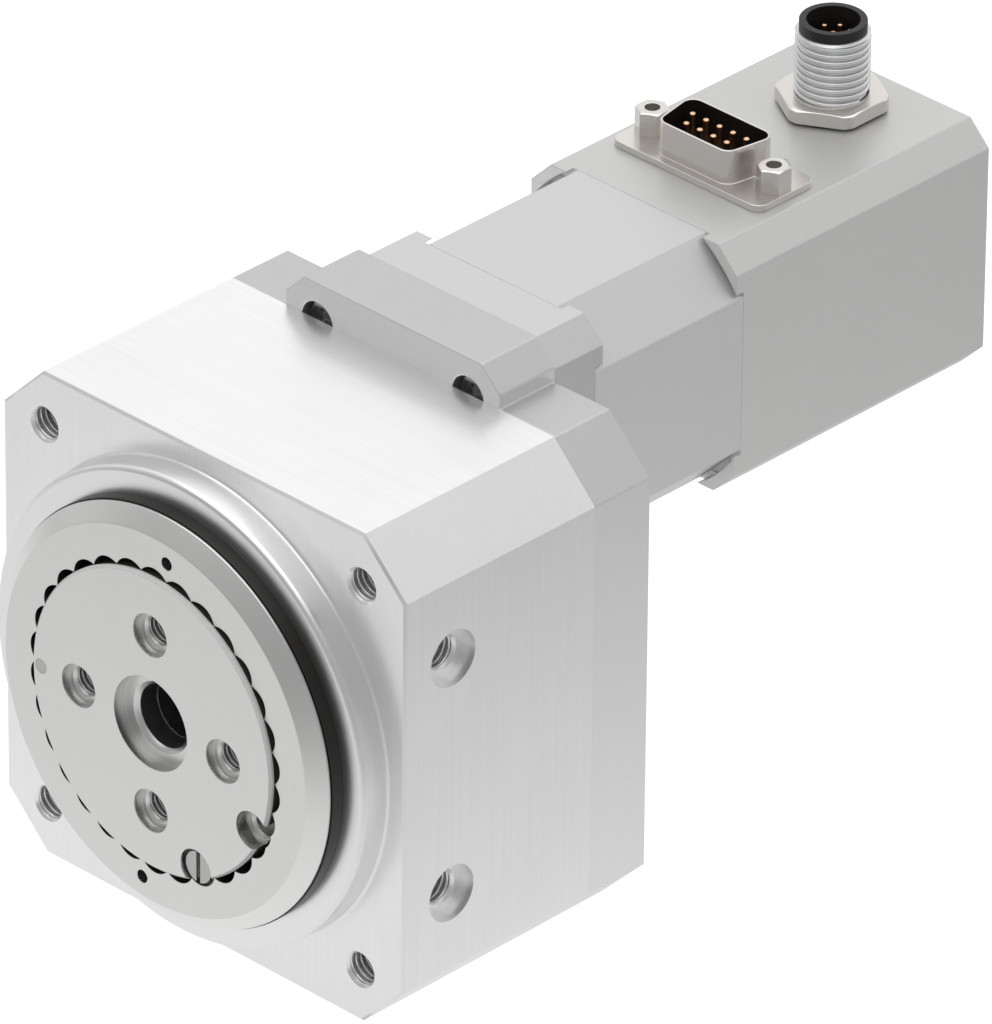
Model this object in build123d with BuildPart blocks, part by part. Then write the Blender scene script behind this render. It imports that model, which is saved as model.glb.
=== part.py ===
from build123d import *

import math
import os

os.makedirs("parts", exist_ok=True)

# Semi-rotary actuator: a round output flange in a square housing, driven by a square stepping motor
# through a spur gear pair. Millimetres. The origin is on the output axis, in the front mounting face
# of the housing. +Y runs back along the motor, +X is to the right and +Z is up.

# Housing
housing_width = 83.0
housing_height = 83.0
housing_corner_chamfer = 8.4
housing_edge_break = 0.4
front_block_length = 39.4
rear_cover_length = 11.6
collar_edge_distance = 3.3
collar_height = 5.0
collar_root_fillet = 0.5
collar_edge_round = 0.3

# Threads in the housing that hold the actuator
front_bolt_inset = 8.8
front_thread_radius = 2.5
front_thread_depth = 14.0
side_thread_spacing = 40.0
side_thread_setback = 10.0
side_thread_radius = 2.5
side_thread_depth = 12.0
side_recess_radius = 4.6
side_recess_depth = 2.3
thread_mouth = 0.48

# Output flange and the index disc in its face
flange_front = 9.85
flange_rim_radius = 33.8
flange_face_radius = 31.2
flange_bevel_depth = 2.25
flange_rim_land = 0.4
flange_spigot_radius = 31.0
flange_web_back = 1.0
disc_radius = 24.75
disc_stand = 0.8
disc_thickness = 6.45
disc_bolt_circle = 30.0
disc_thread_radius = 2.1
disc_recess_radius = 3.5
disc_recess_depth = 1.5
disc_bore_radius = 5.1
disc_register_radius = 7.6
disc_register_depth = 2.3
disc_bore_chamfer = 0.7
index_pockets = 30
index_pocket_radius = 3.15
index_circle_radius = 22.85
index_first_angle = 6.0
lock_pin_angle = 294.0
lock_pin_head_radius = 2.62
lock_pin_sink = 0.5
lock_pin_head_length = 2.2
lock_pin_slot_width = 0.75
lock_pin_slot_depth = 1.0
edge_thread_angle = 336.0
edge_recess_depth = 2.7
mark_pin_radius = 1.15
mark_pin_length = 4.0
mark_pin_circle_radius = 22.9
dowel_hole_radius = 1.05
dowel_hole_depth = 5.0
dowel_circle_radius = 28.0
dowel_angles = (84.5, 264.5)
rim_seal_radius = 34.0
rim_seal_gap = 0.1

# Fits
seat_clearance = 0.02
running_gap = 0.3

# Ball bearings on the output hub
hub_radius = 20.0
hub_bore_radius = 14.0
hub_bearing_outer_radius = 26.0
hub_bearing_width = 7.0
hub_ball_radius = 2.0
hub_ball_count = 16
hub_ring_land = 1.1
front_hub_bearing_setback = 2.5
hub_end_relief = 0.5
race_clearance = 0.03
cage_thickness = 1.5
cage_rail = 0.55
cage_window_clearance = 0.06

# Gear pair
motor_axis_height = 25.6
gear_module = 0.8
pinion_teeth = 12
gear_face_width = 10.0
pinion_setback = 0.5
pressure_angle = 20.0
profile_shift = 0.3
addendum_share = 1.0
dedendum_share = 1.25
tooth_backlash = 0.06
gear_boss_length = 3.0
gear_web_thickness = 4.0
gear_cover_gap = 3.4
gear_chamber_gap = 5.4
pinion_chamber_gap = 1.9

# Motor
motor_width = 42.3
motor_corner_chamfer = 4.0
motor_seat_margin = 0.9
motor_seat_chamfer = 3.8
motor_bolt_inset = 5.65
motor_pilot_radius = 11.0
motor_pilot_length = 2.0
motor_bell_length = 9.5
motor_bell_plate = 2.0
motor_cavity_wall = 3.15
bearing_boss_radius = 10.5
stator_length = 31.8
stator_corner_chamfer = 8.1
stator_yoke = 3.65
stator_pole_count = 8
stator_pole_width = 4.0
stator_shoe_thickness = 1.4
stator_slot_mouth = 1.8
corner_ear_length = 1.6
corner_ear_reach = 4.15
coil_build = 2.1
coil_clearance = 0.15
stator_depth = 9.75
air_gap = 0.2
rotor_end_gap = 2.0
rotor_magnet_thickness = 2.8
rotor_magnet_step = 0.9
shaft_radius = 2.5
shaft_bore_clearance = 0.7
motor_bearing_outer_radius = 8.0
motor_bearing_width = 5.0
motor_ball_radius = 1.5
motor_ball_count = 7
motor_ring_land = 0.75
preload_washer_thickness = 0.6
rear_plate_length = 7.7
rear_plate_setback = 0.7

# End cap and the encoder inside it
end_cap_length = 54.2
end_cap_wall = 2.2
end_cap_back = 2.5
end_cap_edge_round = 0.8
cap_post_radius = 4.2
cap_screw_inset = 3.35
encoder_disc_inset = 7.95
encoder_disc_thickness = 0.6
encoder_hub_radius = 4.0
encoder_hub_length = 4.5
encoder_board_setback = 18.5
encoder_board_thickness = 1.6
encoder_reader_width = 6.0
encoder_reader_gap = 0.5

# Nine-pin signal connector on the top of the end cap
signal_setback = 15.4
signal_flange_length = 30.81
signal_flange_width = 12.55
signal_flange_thickness = 1.1
signal_flange_corner = 2.0
signal_screw_spacing = 24.99
signal_shell_length = 17.9
signal_shell_width = 9.4
signal_shell_height = 6.7
signal_shell_wall = 0.45
signal_shell_corner = 2.1
signal_shell_slope = 10.0
signal_body_length = 19.0
signal_body_width = 10.4
signal_body_depth = 7.0
signal_insert_height = 1.6
signal_pin_pitch = 2.77
signal_row_spacing = 2.84
signal_pin_radius = 0.5
signal_pin_recess = 0.5
signal_pin_tail = 2.5
screwlock_across_flats = 4.76
screwlock_height = 3.9
screwlock_bore_radius = 1.2
screwlock_stud_radius = 1.4

# Round eight-pin power connector on the top of the end cap
power_setback = 41.5
power_thread_radius = 5.6
power_bore_radius = 4.62
power_thread_top = 12.85
power_insert_rim_radius = 5.2
power_insert_rim_height = 2.0
power_cavity_radius = 4.1
power_cavity_depth = 8.6
power_pin_circle = 5.5
power_pin_ring_count = 7
power_pin_turn = 7.6
power_pin_radius = 0.5
power_pin_recess = 2.2
power_flange_radius = 7.2
power_flange_thickness = 1.6
power_nut_across_flats = 15.8
power_nut_height = 2.3
power_nut_corner_radius = 8.7
power_gasket_radius = 7.4
power_gasket_thickness = 0.45
connector_hexagon_turn = 30.0

# Fasteners
m3_radius = 1.5
m3_head_radius = 2.75
m3_head_length = 3.0
m3_key = 2.5
m4_radius = 2.0
m4_head_radius = 3.5
m4_head_length = 4.0
m4_key = 3.0
m5_radius = 2.5
m5_head_radius = 4.25
m5_head_length = 5.0
m5_key = 4.0
screw_clearance = 0.2
head_clearance = 0.45
head_sink = 1.5
screw_tip_gap = 1.0
disc_screw_tip_gap = 0.5
cover_screw_length = 16.0
mount_screw_length = 12.0
disc_screw_circle = 19.8
disc_screw_length = 8.4
gear_screw_count = 6
gear_screw_length = 12.0
tie_screw_gap = 1.1
housing_dowel_radius = 2.0
housing_dowel_length = 12.0
housing_dowel_spacing = 73.0

# Places that follow from the sizes
gear_pitch_radius = motor_axis_height - gear_module * pinion_teeth / 2
gear_teeth = round(2 * gear_pitch_radius / gear_module)
front_bolt_spacing_x = housing_width - 2 * front_bolt_inset
front_bolt_spacing_z = housing_height - 2 * front_bolt_inset
collar_radius = min(housing_width, housing_height) / 2 - collar_edge_distance
disc_front = -(flange_front + disc_stand)
disc_back = disc_front + disc_thickness
bevel_back = -flange_front + flange_bevel_depth
rim_back = bevel_back + flange_rim_land
hub_pitch_radius = (hub_radius + hub_bearing_outer_radius) / 2
front_hub_bearing_centre = front_hub_bearing_setback + hub_bearing_width / 2
gear_back = front_block_length - gear_cover_gap
gear_front = gear_back - gear_face_width
rear_hub_bearing_back = gear_front - gear_boss_length
rear_hub_bearing_centre = rear_hub_bearing_back - hub_bearing_width / 2
hub_end = rear_hub_bearing_back - hub_end_relief
gear_seat_back = gear_front + gear_web_thickness
chamber_front = rear_hub_bearing_back + gear_boss_length / 2
gear_tip_radius = gear_pitch_radius + (addendum_share - profile_shift) * gear_module
gear_root_radius = gear_pitch_radius - (dedendum_share + profile_shift) * gear_module
pinion_pitch_radius = motor_axis_height - gear_pitch_radius
pinion_tip_radius = pinion_pitch_radius + (addendum_share + profile_shift) * gear_module
pinion_root_radius = pinion_pitch_radius - (dedendum_share - profile_shift) * gear_module
cover_back = front_block_length + rear_cover_length
bell_back = cover_back + motor_bell_length
stator_back = bell_back + stator_length
cap_back = stator_back + end_cap_length
motor_half = motor_width / 2
motor_top = motor_axis_height + motor_half
motor_seat_width = motor_width + 2 * motor_seat_margin
motor_bolt_spacing = motor_width - 2 * motor_bolt_inset
motor_cavity_radius = motor_half - motor_cavity_wall
stator_slot_radius = motor_half - stator_yoke
rotor_radius = motor_half - stator_depth
rotor_magnet_radius = rotor_radius - rotor_magnet_step
corner_ear_radius = motor_half + corner_ear_reach
cap_cavity_width = motor_width - 2 * end_cap_wall
cap_screw_offset = cap_cavity_width / 2 - cap_screw_inset
encoder_disc_radius = cap_cavity_width / 2 - encoder_disc_inset
front_motor_bearing_centre = cover_back + motor_bell_plate + motor_bearing_width / 2
rear_motor_bearing_centre = stator_back + rear_plate_setback + motor_bearing_width / 2
rear_plate_back = stator_back + rear_plate_length
rotor_front = bell_back + rotor_end_gap
rotor_back = stator_back - rotor_end_gap
board_front = rear_plate_back + encoder_board_setback
encoder_reader_length = 3.1
encoder_disc_back = board_front - encoder_reader_length - encoder_reader_gap
motor_pitch_radius = (shaft_radius + motor_bearing_outer_radius) / 2
signal_centre = stator_back + signal_setback
power_centre = stator_back + power_setback
motor_corner_places = [
    (x * motor_bolt_spacing / 2, z * motor_bolt_spacing / 2) for x in (-1, 1) for z in (-1, 1)
]
cap_screw_places = [(-cap_screw_offset, 0), (cap_screw_offset, 0), (0, -cap_screw_offset)]


def section(y, height=0.0):
    """Plane across the actuator at depth y: its x runs along +X, its y along +Z, it faces the front."""
    return Plane(origin=(0, y, height), x_dir=(1, 0, 0), z_dir=(0, -1, 0))


def motor_section(y):
    """Plane across the motor at depth y, centred on the motor axis."""
    return section(y, motor_axis_height)


def axis_at(height):
    """Axis along +Y at the given height."""
    return Axis((0, 0, height), (0, 1, 0))


def polar(radius, angle):
    """Point on a circle about the axis of a section plane, angle in degrees from +X towards +Z."""
    return (radius * math.cos(math.radians(angle)), radius * math.sin(math.radians(angle)))


def save(builder, node):
    """Labels a finished piece and writes its STEP file."""
    builder.part.label = node
    export_step(builder.part, f"parts/{node}.step")


def housing_outline():
    """Adds the square section with chamfered corners that both housing parts share."""
    outline = Rectangle(housing_width, housing_height)
    chamfer(outline.vertices(), housing_corner_chamfer)


def motor_outline(corner):
    """Adds the square motor section with its corners chamfered by the given length."""
    outline = Rectangle(motor_width, motor_width)
    chamfer(outline.vertices(), corner)


def motor_ears(y, length):
    """Adds the four corner ears of a motor end that stand over the stator's chamfered corners."""
    with BuildSketch(motor_section(y)) as ears:
        motor_outline(motor_corner_chamfer)
        Circle(corner_ear_radius, mode=Mode.SUBTRACT)
    extrude(ears.sketch, amount=-length)


def turned(points, height=0.0, mode=Mode.ADD):
    """Revolves a closed outline of (radius, depth) points about the axis at the given height."""
    with BuildSketch(Plane.XY.offset(height)) as profile:
        with BuildLine():
            Polyline(*points, close=True)
        make_face()
    revolve(profile.sketch, axis=axis_at(height), mode=mode)


def tube(inner, outer, y0, y1, height=0.0, mode=Mode.ADD):
    """Adds or cuts a plain round sleeve between two depths."""
    turned([(inner, y0), (outer, y0), (outer, y1), (inner, y1)], height, mode)


def rod(radius, y0, y1, places=((0, 0),), height=0.0, mode=Mode.ADD):
    """Adds or cuts round bars between two depths at places in the section plane."""
    with BuildSketch(section(y0, height)) as ends:
        with Locations(*places):
            Circle(radius)
    extrude(ends.sketch, amount=y0 - y1, mode=mode)


def socket_screws(places, seat, direction, size, length, height=0.0):
    """Socket head screws along Y, one solid at each place.

    seat is the depth of the face under the heads, direction is 1 when the shanks point backwards and
    -1 when they point forwards, and size is (shank radius, head radius, head length, key width).
    """
    radius, head_radius, head_length, key = size
    head_end = seat - direction * head_length
    with BuildPart() as screws:
        rod(head_radius, min(seat, head_end), max(seat, head_end), places, height)
        tip = seat + direction * length
        rod(radius, min(seat, tip), max(seat, tip), places, height)
        with BuildSketch(section(head_end, height)):
            with Locations(*places):
                RegularPolygon(key / 2, 6, major_radius=False)
        extrude(amount=-direction * head_length / 2, mode=Mode.SUBTRACT)
    return screws


def bearing_ring(inner, outer, width, centre, pitch_radius, ball_radius, height=0.0):
    """One ring of a ball bearing with its groove cut for the balls."""
    with BuildPart() as ring:
        with BuildSketch(Plane.XY.offset(height)):
            with Locations(((inner + outer) / 2, centre)):
                Rectangle(outer - inner, width)
            with Locations((pitch_radius, centre)):
                Circle(ball_radius + race_clearance, mode=Mode.SUBTRACT)
        revolve(axis=axis_at(height))
    return ring


def bearing_balls(pitch_radius, ball_radius, count, centre, height=0.0):
    """The balls of one bearing, spread evenly round its pitch circle."""
    with BuildPart() as balls:
        for i in range(count):
            x, z = polar(pitch_radius, 360 * i / count)
            with Locations((x, centre, z + height)):
                Sphere(ball_radius)
    return balls


def bearing_cage(pitch_radius, ball_radius, count, centre, thickness, height=0.0):
    """A ring with one square window for each ball."""
    window = 2 * (ball_radius + cage_window_clearance)
    half_width = window / 2 + cage_rail
    with BuildPart() as cage:
        tube(
            pitch_radius - thickness / 2,
            pitch_radius + thickness / 2,
            centre - half_width,
            centre + half_width,
            height,
        )
        for i in range(count):
            x, z = polar(pitch_radius - thickness, 360 * i / count)
            window_plane = Plane(
                origin=(x, centre, z + height), x_dir=(0, 1, 0), z_dir=(x, 0, z)
            )
            with BuildSketch(window_plane):
                Rectangle(window, window)
            extrude(amount=2 * thickness, mode=Mode.SUBTRACT)
    return cage


def tooth_half_angle(radius, pitch_radius, teeth, shift):
    """Half of the angle that an involute tooth fills at a radius, in radians."""
    alpha = math.radians(pressure_angle)
    here = math.acos(min(1.0, pitch_radius * math.cos(alpha) / radius))
    involute_gain = (math.tan(alpha) - alpha) - (math.tan(here) - here)
    thickening = (shift * gear_module * math.tan(alpha) - tooth_backlash / 2) / pitch_radius
    return math.pi / (2 * teeth) + thickening + involute_gain


def gear_outline(teeth, pitch_radius, tip_radius, root_radius, shift, first_angle):
    """Adds the closed outline of an involute spur gear; first_angle is the middle of one tooth."""
    base_radius = pitch_radius * math.cos(math.radians(pressure_angle))
    start_radius = max(base_radius, root_radius)
    flank_steps = 4
    radii = [
        start_radius + (tip_radius - start_radius) * i / flank_steps for i in range(flank_steps + 1)
    ]
    root_half = tooth_half_angle(start_radius, pitch_radius, teeth, shift)
    with BuildLine() as outline:
        for tooth in range(teeth):
            middle = math.radians(first_angle) + 2 * math.pi * tooth / teeth
            ends = []
            for side in (-1, 1):
                flank = []
                for radius in radii:
                    angle = middle + side * tooth_half_angle(radius, pitch_radius, teeth, shift)
                    flank.append((radius * math.cos(angle), radius * math.sin(angle)))
                Spline(*flank)
                foot_angle = middle + side * root_half
                foot = (root_radius * math.cos(foot_angle), root_radius * math.sin(foot_angle))
                if start_radius > root_radius:
                    Line(foot, flank[0])
                ends.append((foot, flank[-1]))
            Line(ends[0][1], ends[1][1])
            next_angle = middle + 2 * math.pi / teeth - root_half
            next_foot = (root_radius * math.cos(next_angle), root_radius * math.sin(next_angle))
            Line(ends[1][0], next_foot)
    make_face(outline.edges())


def d_outline(length, width, corner):
    """Adds the D shape of the signal connector, its long side towards +Y."""
    slope = width * math.tan(math.radians(signal_shell_slope))
    half = length / 2
    with BuildLine() as sides:
        Polyline(
            (-half, width / 2),
            (half, width / 2),
            (half - slope, -width / 2),
            (-half + slope, -width / 2),
            close=True,
        )
        fillet(sides.vertices(), corner)
    make_face(sides.edges())


m3 = (m3_radius, m3_head_radius, m3_head_length, m3_key)
m4 = (m4_radius, m4_head_radius, m4_head_length, m4_key)
m5 = (m5_radius, m5_head_radius, m5_head_length, m5_key)

# Front housing: machined block with a round collar, two bearing seats and the gear chamber
corner_places = [
    (x * front_bolt_spacing_x / 2, z * front_bolt_spacing_z / 2) for x in (-1, 1) for z in (-1, 1)
]
dowel_places = [(x * housing_dowel_spacing / 2, 0) for x in (-1, 1)]
seal_seat_radius = flange_spigot_radius + 2 * running_gap
bearing_seat_radius = hub_bearing_outer_radius + seat_clearance
outer_ring_bore_radius = hub_bearing_outer_radius - hub_ring_land - (
    hub_bearing_outer_radius - hub_pitch_radius - hub_ball_radius
)
chamber_radius = gear_tip_radius + gear_chamber_gap
web_recess_floor = flange_web_back + running_gap
with BuildPart() as front_housing:
    with BuildSketch(section(0)):
        housing_outline()
    extrude(amount=-front_block_length)
    chamfer(front_housing.faces().sort_by(Axis.Y)[0].edges(), housing_edge_break)
    rod(collar_radius, -collar_height, 0)
    collar_edges = front_housing.edges().filter_by(GeomType.CIRCLE)
    fillet(collar_edges.group_by(Axis.Y)[-1], collar_root_fillet)
    fillet(collar_edges.group_by(Axis.Y)[0], collar_edge_round)
    rod(seal_seat_radius, -collar_height, web_recess_floor, mode=Mode.SUBTRACT)
    rod(bearing_seat_radius, web_recess_floor,
        front_hub_bearing_centre + hub_bearing_width / 2, mode=Mode.SUBTRACT)
    rod(outer_ring_bore_radius, 0, front_block_length, mode=Mode.SUBTRACT)
    rod(bearing_seat_radius, rear_hub_bearing_centre - hub_bearing_width / 2,
        front_block_length, mode=Mode.SUBTRACT)
    rod(chamber_radius, chamber_front, front_block_length, mode=Mode.SUBTRACT)
    rod(pinion_tip_radius + pinion_chamber_gap, chamber_front, front_block_length,
        height=motor_axis_height, mode=Mode.SUBTRACT)
    with Locations(section(0)):
        with Locations(*corner_places):
            CounterSinkHole(front_thread_radius, front_thread_radius + thread_mouth,
                            front_thread_depth, 90)
    for side in (-1, 1):
        side_face = Plane(
            origin=(side * housing_width / 2, side_thread_setback, 0),
            x_dir=(0, 1, 0),
            z_dir=(side, 0, 0),
        )
        side_places = [(0, -side_thread_spacing / 2), (0, side_thread_spacing / 2)]
        with Locations(side_face):
            with Locations(*side_places):
                CounterBoreHole(side_thread_radius, side_recess_radius, side_recess_depth,
                                side_recess_depth + side_thread_depth)
        with Locations(side_face.offset(-side_recess_depth)):
            with Locations(*side_places):
                CounterSinkHole(side_thread_radius, side_thread_radius + thread_mouth,
                                side_thread_depth, 90)
    rod(m5_radius + seat_clearance,
        cover_back - head_sink - m5_head_length - cover_screw_length - screw_tip_gap,
        front_block_length, corner_places, mode=Mode.SUBTRACT)
    rod(housing_dowel_radius + seat_clearance, front_block_length - housing_dowel_length / 2,
        front_block_length, dowel_places, mode=Mode.SUBTRACT)
save(front_housing, "front_housing")

# Rear cover: gray plate of the same outline that rises into the square motor seat
cover_screw_seat = cover_back - head_sink - m5_head_length
mount_screw_seat = front_block_length + head_sink + m3_head_length
with BuildPart() as rear_cover:
    with BuildSketch(section(front_block_length)):
        housing_outline()
    extrude(amount=-rear_cover_length)
    with BuildSketch(motor_section(front_block_length)):
        seat_outline = Rectangle(motor_seat_width, motor_seat_width)
        chamfer(seat_outline.vertices(), motor_seat_chamfer)
    extrude(amount=-rear_cover_length)
    rod(pinion_tip_radius + pinion_chamber_gap, front_block_length, cover_back,
        height=motor_axis_height, mode=Mode.SUBTRACT)
    rod(motor_pilot_radius + seat_clearance, cover_back - motor_pilot_length - running_gap,
        cover_back, height=motor_axis_height, mode=Mode.SUBTRACT)
    rod(m3_head_radius + head_clearance, front_block_length, mount_screw_seat,
        motor_corner_places, motor_axis_height, Mode.SUBTRACT)
    rod(m3_radius + screw_clearance, mount_screw_seat, cover_back,
        motor_corner_places, motor_axis_height, Mode.SUBTRACT)
    rod(m5_head_radius + head_clearance, cover_screw_seat, cover_back, corner_places,
        mode=Mode.SUBTRACT)
    rod(m5_radius + screw_clearance, front_block_length, cover_screw_seat, corner_places,
        mode=Mode.SUBTRACT)
    rod(housing_dowel_radius + seat_clearance, front_block_length,
        front_block_length + housing_dowel_length / 2, dowel_places, mode=Mode.SUBTRACT)
save(rear_cover, "rear_cover")

with BuildPart() as alignment_dowels:
    rod(housing_dowel_radius, front_block_length - housing_dowel_length / 2,
        front_block_length + housing_dowel_length / 2, dowel_places)
save(alignment_dowels, "alignment_dowels")

cover_screws = socket_screws(corner_places, cover_screw_seat, -1, m5, cover_screw_length)
save(cover_screws, "cover_screws")

motor_mount_screws = socket_screws(
    motor_corner_places, mount_screw_seat, 1, m3, mount_screw_length, motor_axis_height
)
save(motor_mount_screws, "motor_mount_screws")

# Black seal between the housing collar and the rim of the flange
with BuildPart() as rim_seal:
    tube(flange_spigot_radius + running_gap, rim_seal_radius, -collar_height, rim_back + rim_seal_gap)
save(rim_seal, "rim_seal")

# Output flange: bevelled rim, web, shoulder and hub, with the scalloped index recess in its face
inner_ring_radius = hub_radius + hub_ring_land + (hub_pitch_radius - hub_radius - hub_ball_radius)
index_places = [
    polar(index_circle_radius, index_first_angle + 360 * i / index_pockets)
    for i in range(index_pockets)
]
edge_place = polar(index_circle_radius, edge_thread_angle)
disc_screw_places = [polar(disc_screw_circle / 2, 45 + 90 * i) for i in range(4)]
gear_screw_circle_radius = (hub_bore_radius + hub_radius) / 2
gear_screw_places = [
    polar(gear_screw_circle_radius, 360 * (i + 0.5) / gear_screw_count) for i in range(gear_screw_count)
]
with BuildPart() as rotary_flange:
    turned([
        (disc_bore_radius, -flange_front),
        (flange_face_radius, -flange_front),
        (flange_rim_radius, bevel_back),
        (flange_rim_radius, rim_back),
        (flange_spigot_radius, rim_back),
        (flange_spigot_radius, flange_web_back),
        (inner_ring_radius, flange_web_back),
        (inner_ring_radius, front_hub_bearing_setback),
        (hub_radius - seat_clearance, front_hub_bearing_setback),
        (hub_radius - seat_clearance, hub_end),
        (hub_bore_radius, hub_end),
        (hub_bore_radius, flange_web_back),
        (disc_bore_radius, flange_web_back),
    ])
    with BuildSketch(section(-flange_front)):
        Circle(disc_radius - index_pocket_radius / 4)
        with Locations(*index_places):
            Circle(index_pocket_radius)
    extrude(amount=-(disc_back + flange_front), mode=Mode.SUBTRACT)
    rod(index_pocket_radius, -flange_front, disc_front + edge_recess_depth, [edge_place],
        mode=Mode.SUBTRACT)
    rod(disc_thread_radius, -flange_front, disc_back, [edge_place], mode=Mode.SUBTRACT)
    rod(dowel_hole_radius, -flange_front, dowel_hole_depth - flange_front,
        [polar(dowel_circle_radius, angle) for angle in dowel_angles], mode=Mode.SUBTRACT)
    rod(m4_radius + screw_clearance, disc_back, flange_web_back, disc_screw_places,
        mode=Mode.SUBTRACT)
    rod(m3_radius + seat_clearance, gear_seat_back - gear_screw_length - screw_tip_gap, hub_end,
        gear_screw_places, mode=Mode.SUBTRACT)
save(rotary_flange, "rotary_flange")

# Index disc: turns with the flange and carries the customer's threads
disc_thread_places = [polar(disc_bolt_circle / 2, 90 * i) for i in range(4)]
lock_place = polar(index_circle_radius, lock_pin_angle)
mark_place = polar(mark_pin_circle_radius, 180)
disc_screw_tip = flange_web_back - disc_screw_length
with BuildPart() as index_disc:
    rod(disc_radius, disc_front, disc_back)
    with Locations(section(disc_front)):
        CounterBoreHole(disc_bore_radius, disc_register_radius, disc_register_depth, disc_thickness)
        with Locations(*disc_thread_places):
            CounterBoreHole(disc_thread_radius, disc_recess_radius, disc_recess_depth, disc_thickness)
    with Locations(section(disc_front + disc_register_depth)):
        CounterSinkHole(disc_bore_radius, disc_bore_radius + disc_bore_chamfer, disc_thickness, 90)
    with Locations(section(disc_front + disc_recess_depth)):
        with Locations(*disc_thread_places):
            CounterSinkHole(disc_thread_radius, disc_thread_radius + thread_mouth, disc_thickness, 90)
    rod(index_pocket_radius, disc_front, disc_back, [lock_place], mode=Mode.SUBTRACT)
    rod(index_pocket_radius, disc_front, disc_front + edge_recess_depth, [edge_place],
        mode=Mode.SUBTRACT)
    with Locations(section(disc_front + edge_recess_depth)):
        with Locations(edge_place):
            CounterSinkHole(disc_thread_radius, disc_thread_radius + thread_mouth, disc_thickness, 90)
    rod(mark_pin_radius + seat_clearance, disc_front, disc_front + mark_pin_length, [mark_place],
        mode=Mode.SUBTRACT)
    rod(m4_radius + seat_clearance, disc_screw_tip - disc_screw_tip_gap, disc_back, disc_screw_places,
        mode=Mode.SUBTRACT)
save(index_disc, "index_disc")

# Slotted pin that locks the disc in one of the index pockets
lock_head_front = disc_front + lock_pin_sink
lock_body_front = lock_head_front + lock_pin_head_length
with BuildPart() as lock_pin:
    rod(lock_pin_head_radius, lock_head_front, lock_body_front, [lock_place])
    rod(index_pocket_radius - seat_clearance, lock_body_front, disc_back, [lock_place])
    with BuildSketch(section(lock_head_front)):
        with Locations(lock_place):
            Rectangle(lock_pin_slot_width, 2 * index_pocket_radius)
    extrude(amount=-lock_pin_slot_depth, mode=Mode.SUBTRACT)
save(lock_pin, "lock_pin")

with BuildPart() as mark_pin:
    rod(mark_pin_radius, disc_front, disc_front + mark_pin_length, [mark_place])
save(mark_pin, "mark_pin")

disc_screws = socket_screws(disc_screw_places, flange_web_back, -1, m4, disc_screw_length)
save(disc_screws, "disc_screws")

# Two ball bearings on the hub
for name, centre in (("front", front_hub_bearing_centre), ("rear", rear_hub_bearing_centre)):
    hub_outer_ring = bearing_ring(
        outer_ring_bore_radius, hub_bearing_outer_radius, hub_bearing_width, centre,
        hub_pitch_radius, hub_ball_radius
    )
    save(hub_outer_ring, f"{name}_hub_bearing_outer")
    hub_inner_ring = bearing_ring(
        hub_radius, inner_ring_radius, hub_bearing_width, centre, hub_pitch_radius, hub_ball_radius
    )
    save(hub_inner_ring, f"{name}_hub_bearing_inner")
    hub_balls = bearing_balls(hub_pitch_radius, hub_ball_radius, hub_ball_count, centre)
    save(hub_balls, f"{name}_hub_balls")
    hub_cage = bearing_cage(hub_pitch_radius, hub_ball_radius, hub_ball_count, centre, cage_thickness)
    save(hub_cage, f"{name}_hub_cage")

# Output gear, bolted to the end of the hub
gear_spigot_radius = hub_bore_radius - seat_clearance
with BuildPart() as output_gear:
    with BuildSketch(section(gear_front)):
        gear_outline(gear_teeth, gear_pitch_radius, gear_tip_radius, gear_root_radius,
                     -profile_shift, 90)
    extrude(amount=-gear_face_width)
    rod(inner_ring_radius, rear_hub_bearing_back, gear_front)
    rod(gear_spigot_radius, hub_end - gear_boss_length, rear_hub_bearing_back)
    rod(disc_bore_radius, hub_end - gear_boss_length, gear_back, mode=Mode.SUBTRACT)
    rod(m3_radius + screw_clearance, rear_hub_bearing_back, gear_back, gear_screw_places,
        mode=Mode.SUBTRACT)
    rod(m3_head_radius + head_clearance, gear_seat_back, gear_back, gear_screw_places,
        mode=Mode.SUBTRACT)
save(output_gear, "output_gear")

gear_screws = socket_screws(gear_screw_places, gear_seat_back, -1, m3, gear_screw_length)
save(gear_screws, "gear_screws")

# Motor pinion, with a tooth gap turned down towards the output gear
pinion_first_angle = 270 + 180 / pinion_teeth
pinion_front = gear_front + pinion_setback
with BuildPart() as pinion:
    with BuildSketch(motor_section(pinion_front)):
        gear_outline(pinion_teeth, pinion_pitch_radius, pinion_tip_radius, pinion_root_radius,
                     profile_shift, pinion_first_angle)
        Circle(shaft_radius + seat_clearance, mode=Mode.SUBTRACT)
    extrude(amount=-gear_face_width)
save(pinion, "pinion")

# Motor front bell with its pilot, bearing seat and corner ears
motor_bearing_seat_radius = motor_bearing_outer_radius + seat_clearance
shaft_bore_radius = shaft_radius + shaft_bore_clearance
bell_plate_back = cover_back + motor_bell_plate
boss_back = bell_plate_back + motor_bearing_width
with BuildPart() as motor_front_bell:
    with BuildSketch(motor_section(cover_back)):
        motor_outline(motor_corner_chamfer)
    extrude(amount=-motor_bell_length)
    motor_ears(bell_back, corner_ear_length)
    rod(motor_pilot_radius, cover_back - motor_pilot_length, cover_back, height=motor_axis_height)
    tube(bearing_boss_radius, motor_cavity_radius, bell_plate_back, bell_back, motor_axis_height,
         Mode.SUBTRACT)
    rod(bearing_boss_radius, boss_back, bell_back, height=motor_axis_height, mode=Mode.SUBTRACT)
    rod(motor_bearing_seat_radius, bell_plate_back, boss_back, height=motor_axis_height,
        mode=Mode.SUBTRACT)
    rod(shaft_bore_radius, cover_back - motor_pilot_length, bell_plate_back,
        height=motor_axis_height, mode=Mode.SUBTRACT)
    rod(m3_radius + seat_clearance, cover_back, bell_back, motor_corner_places, motor_axis_height,
        Mode.SUBTRACT)
save(motor_front_bell, "motor_front_bell")

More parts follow.
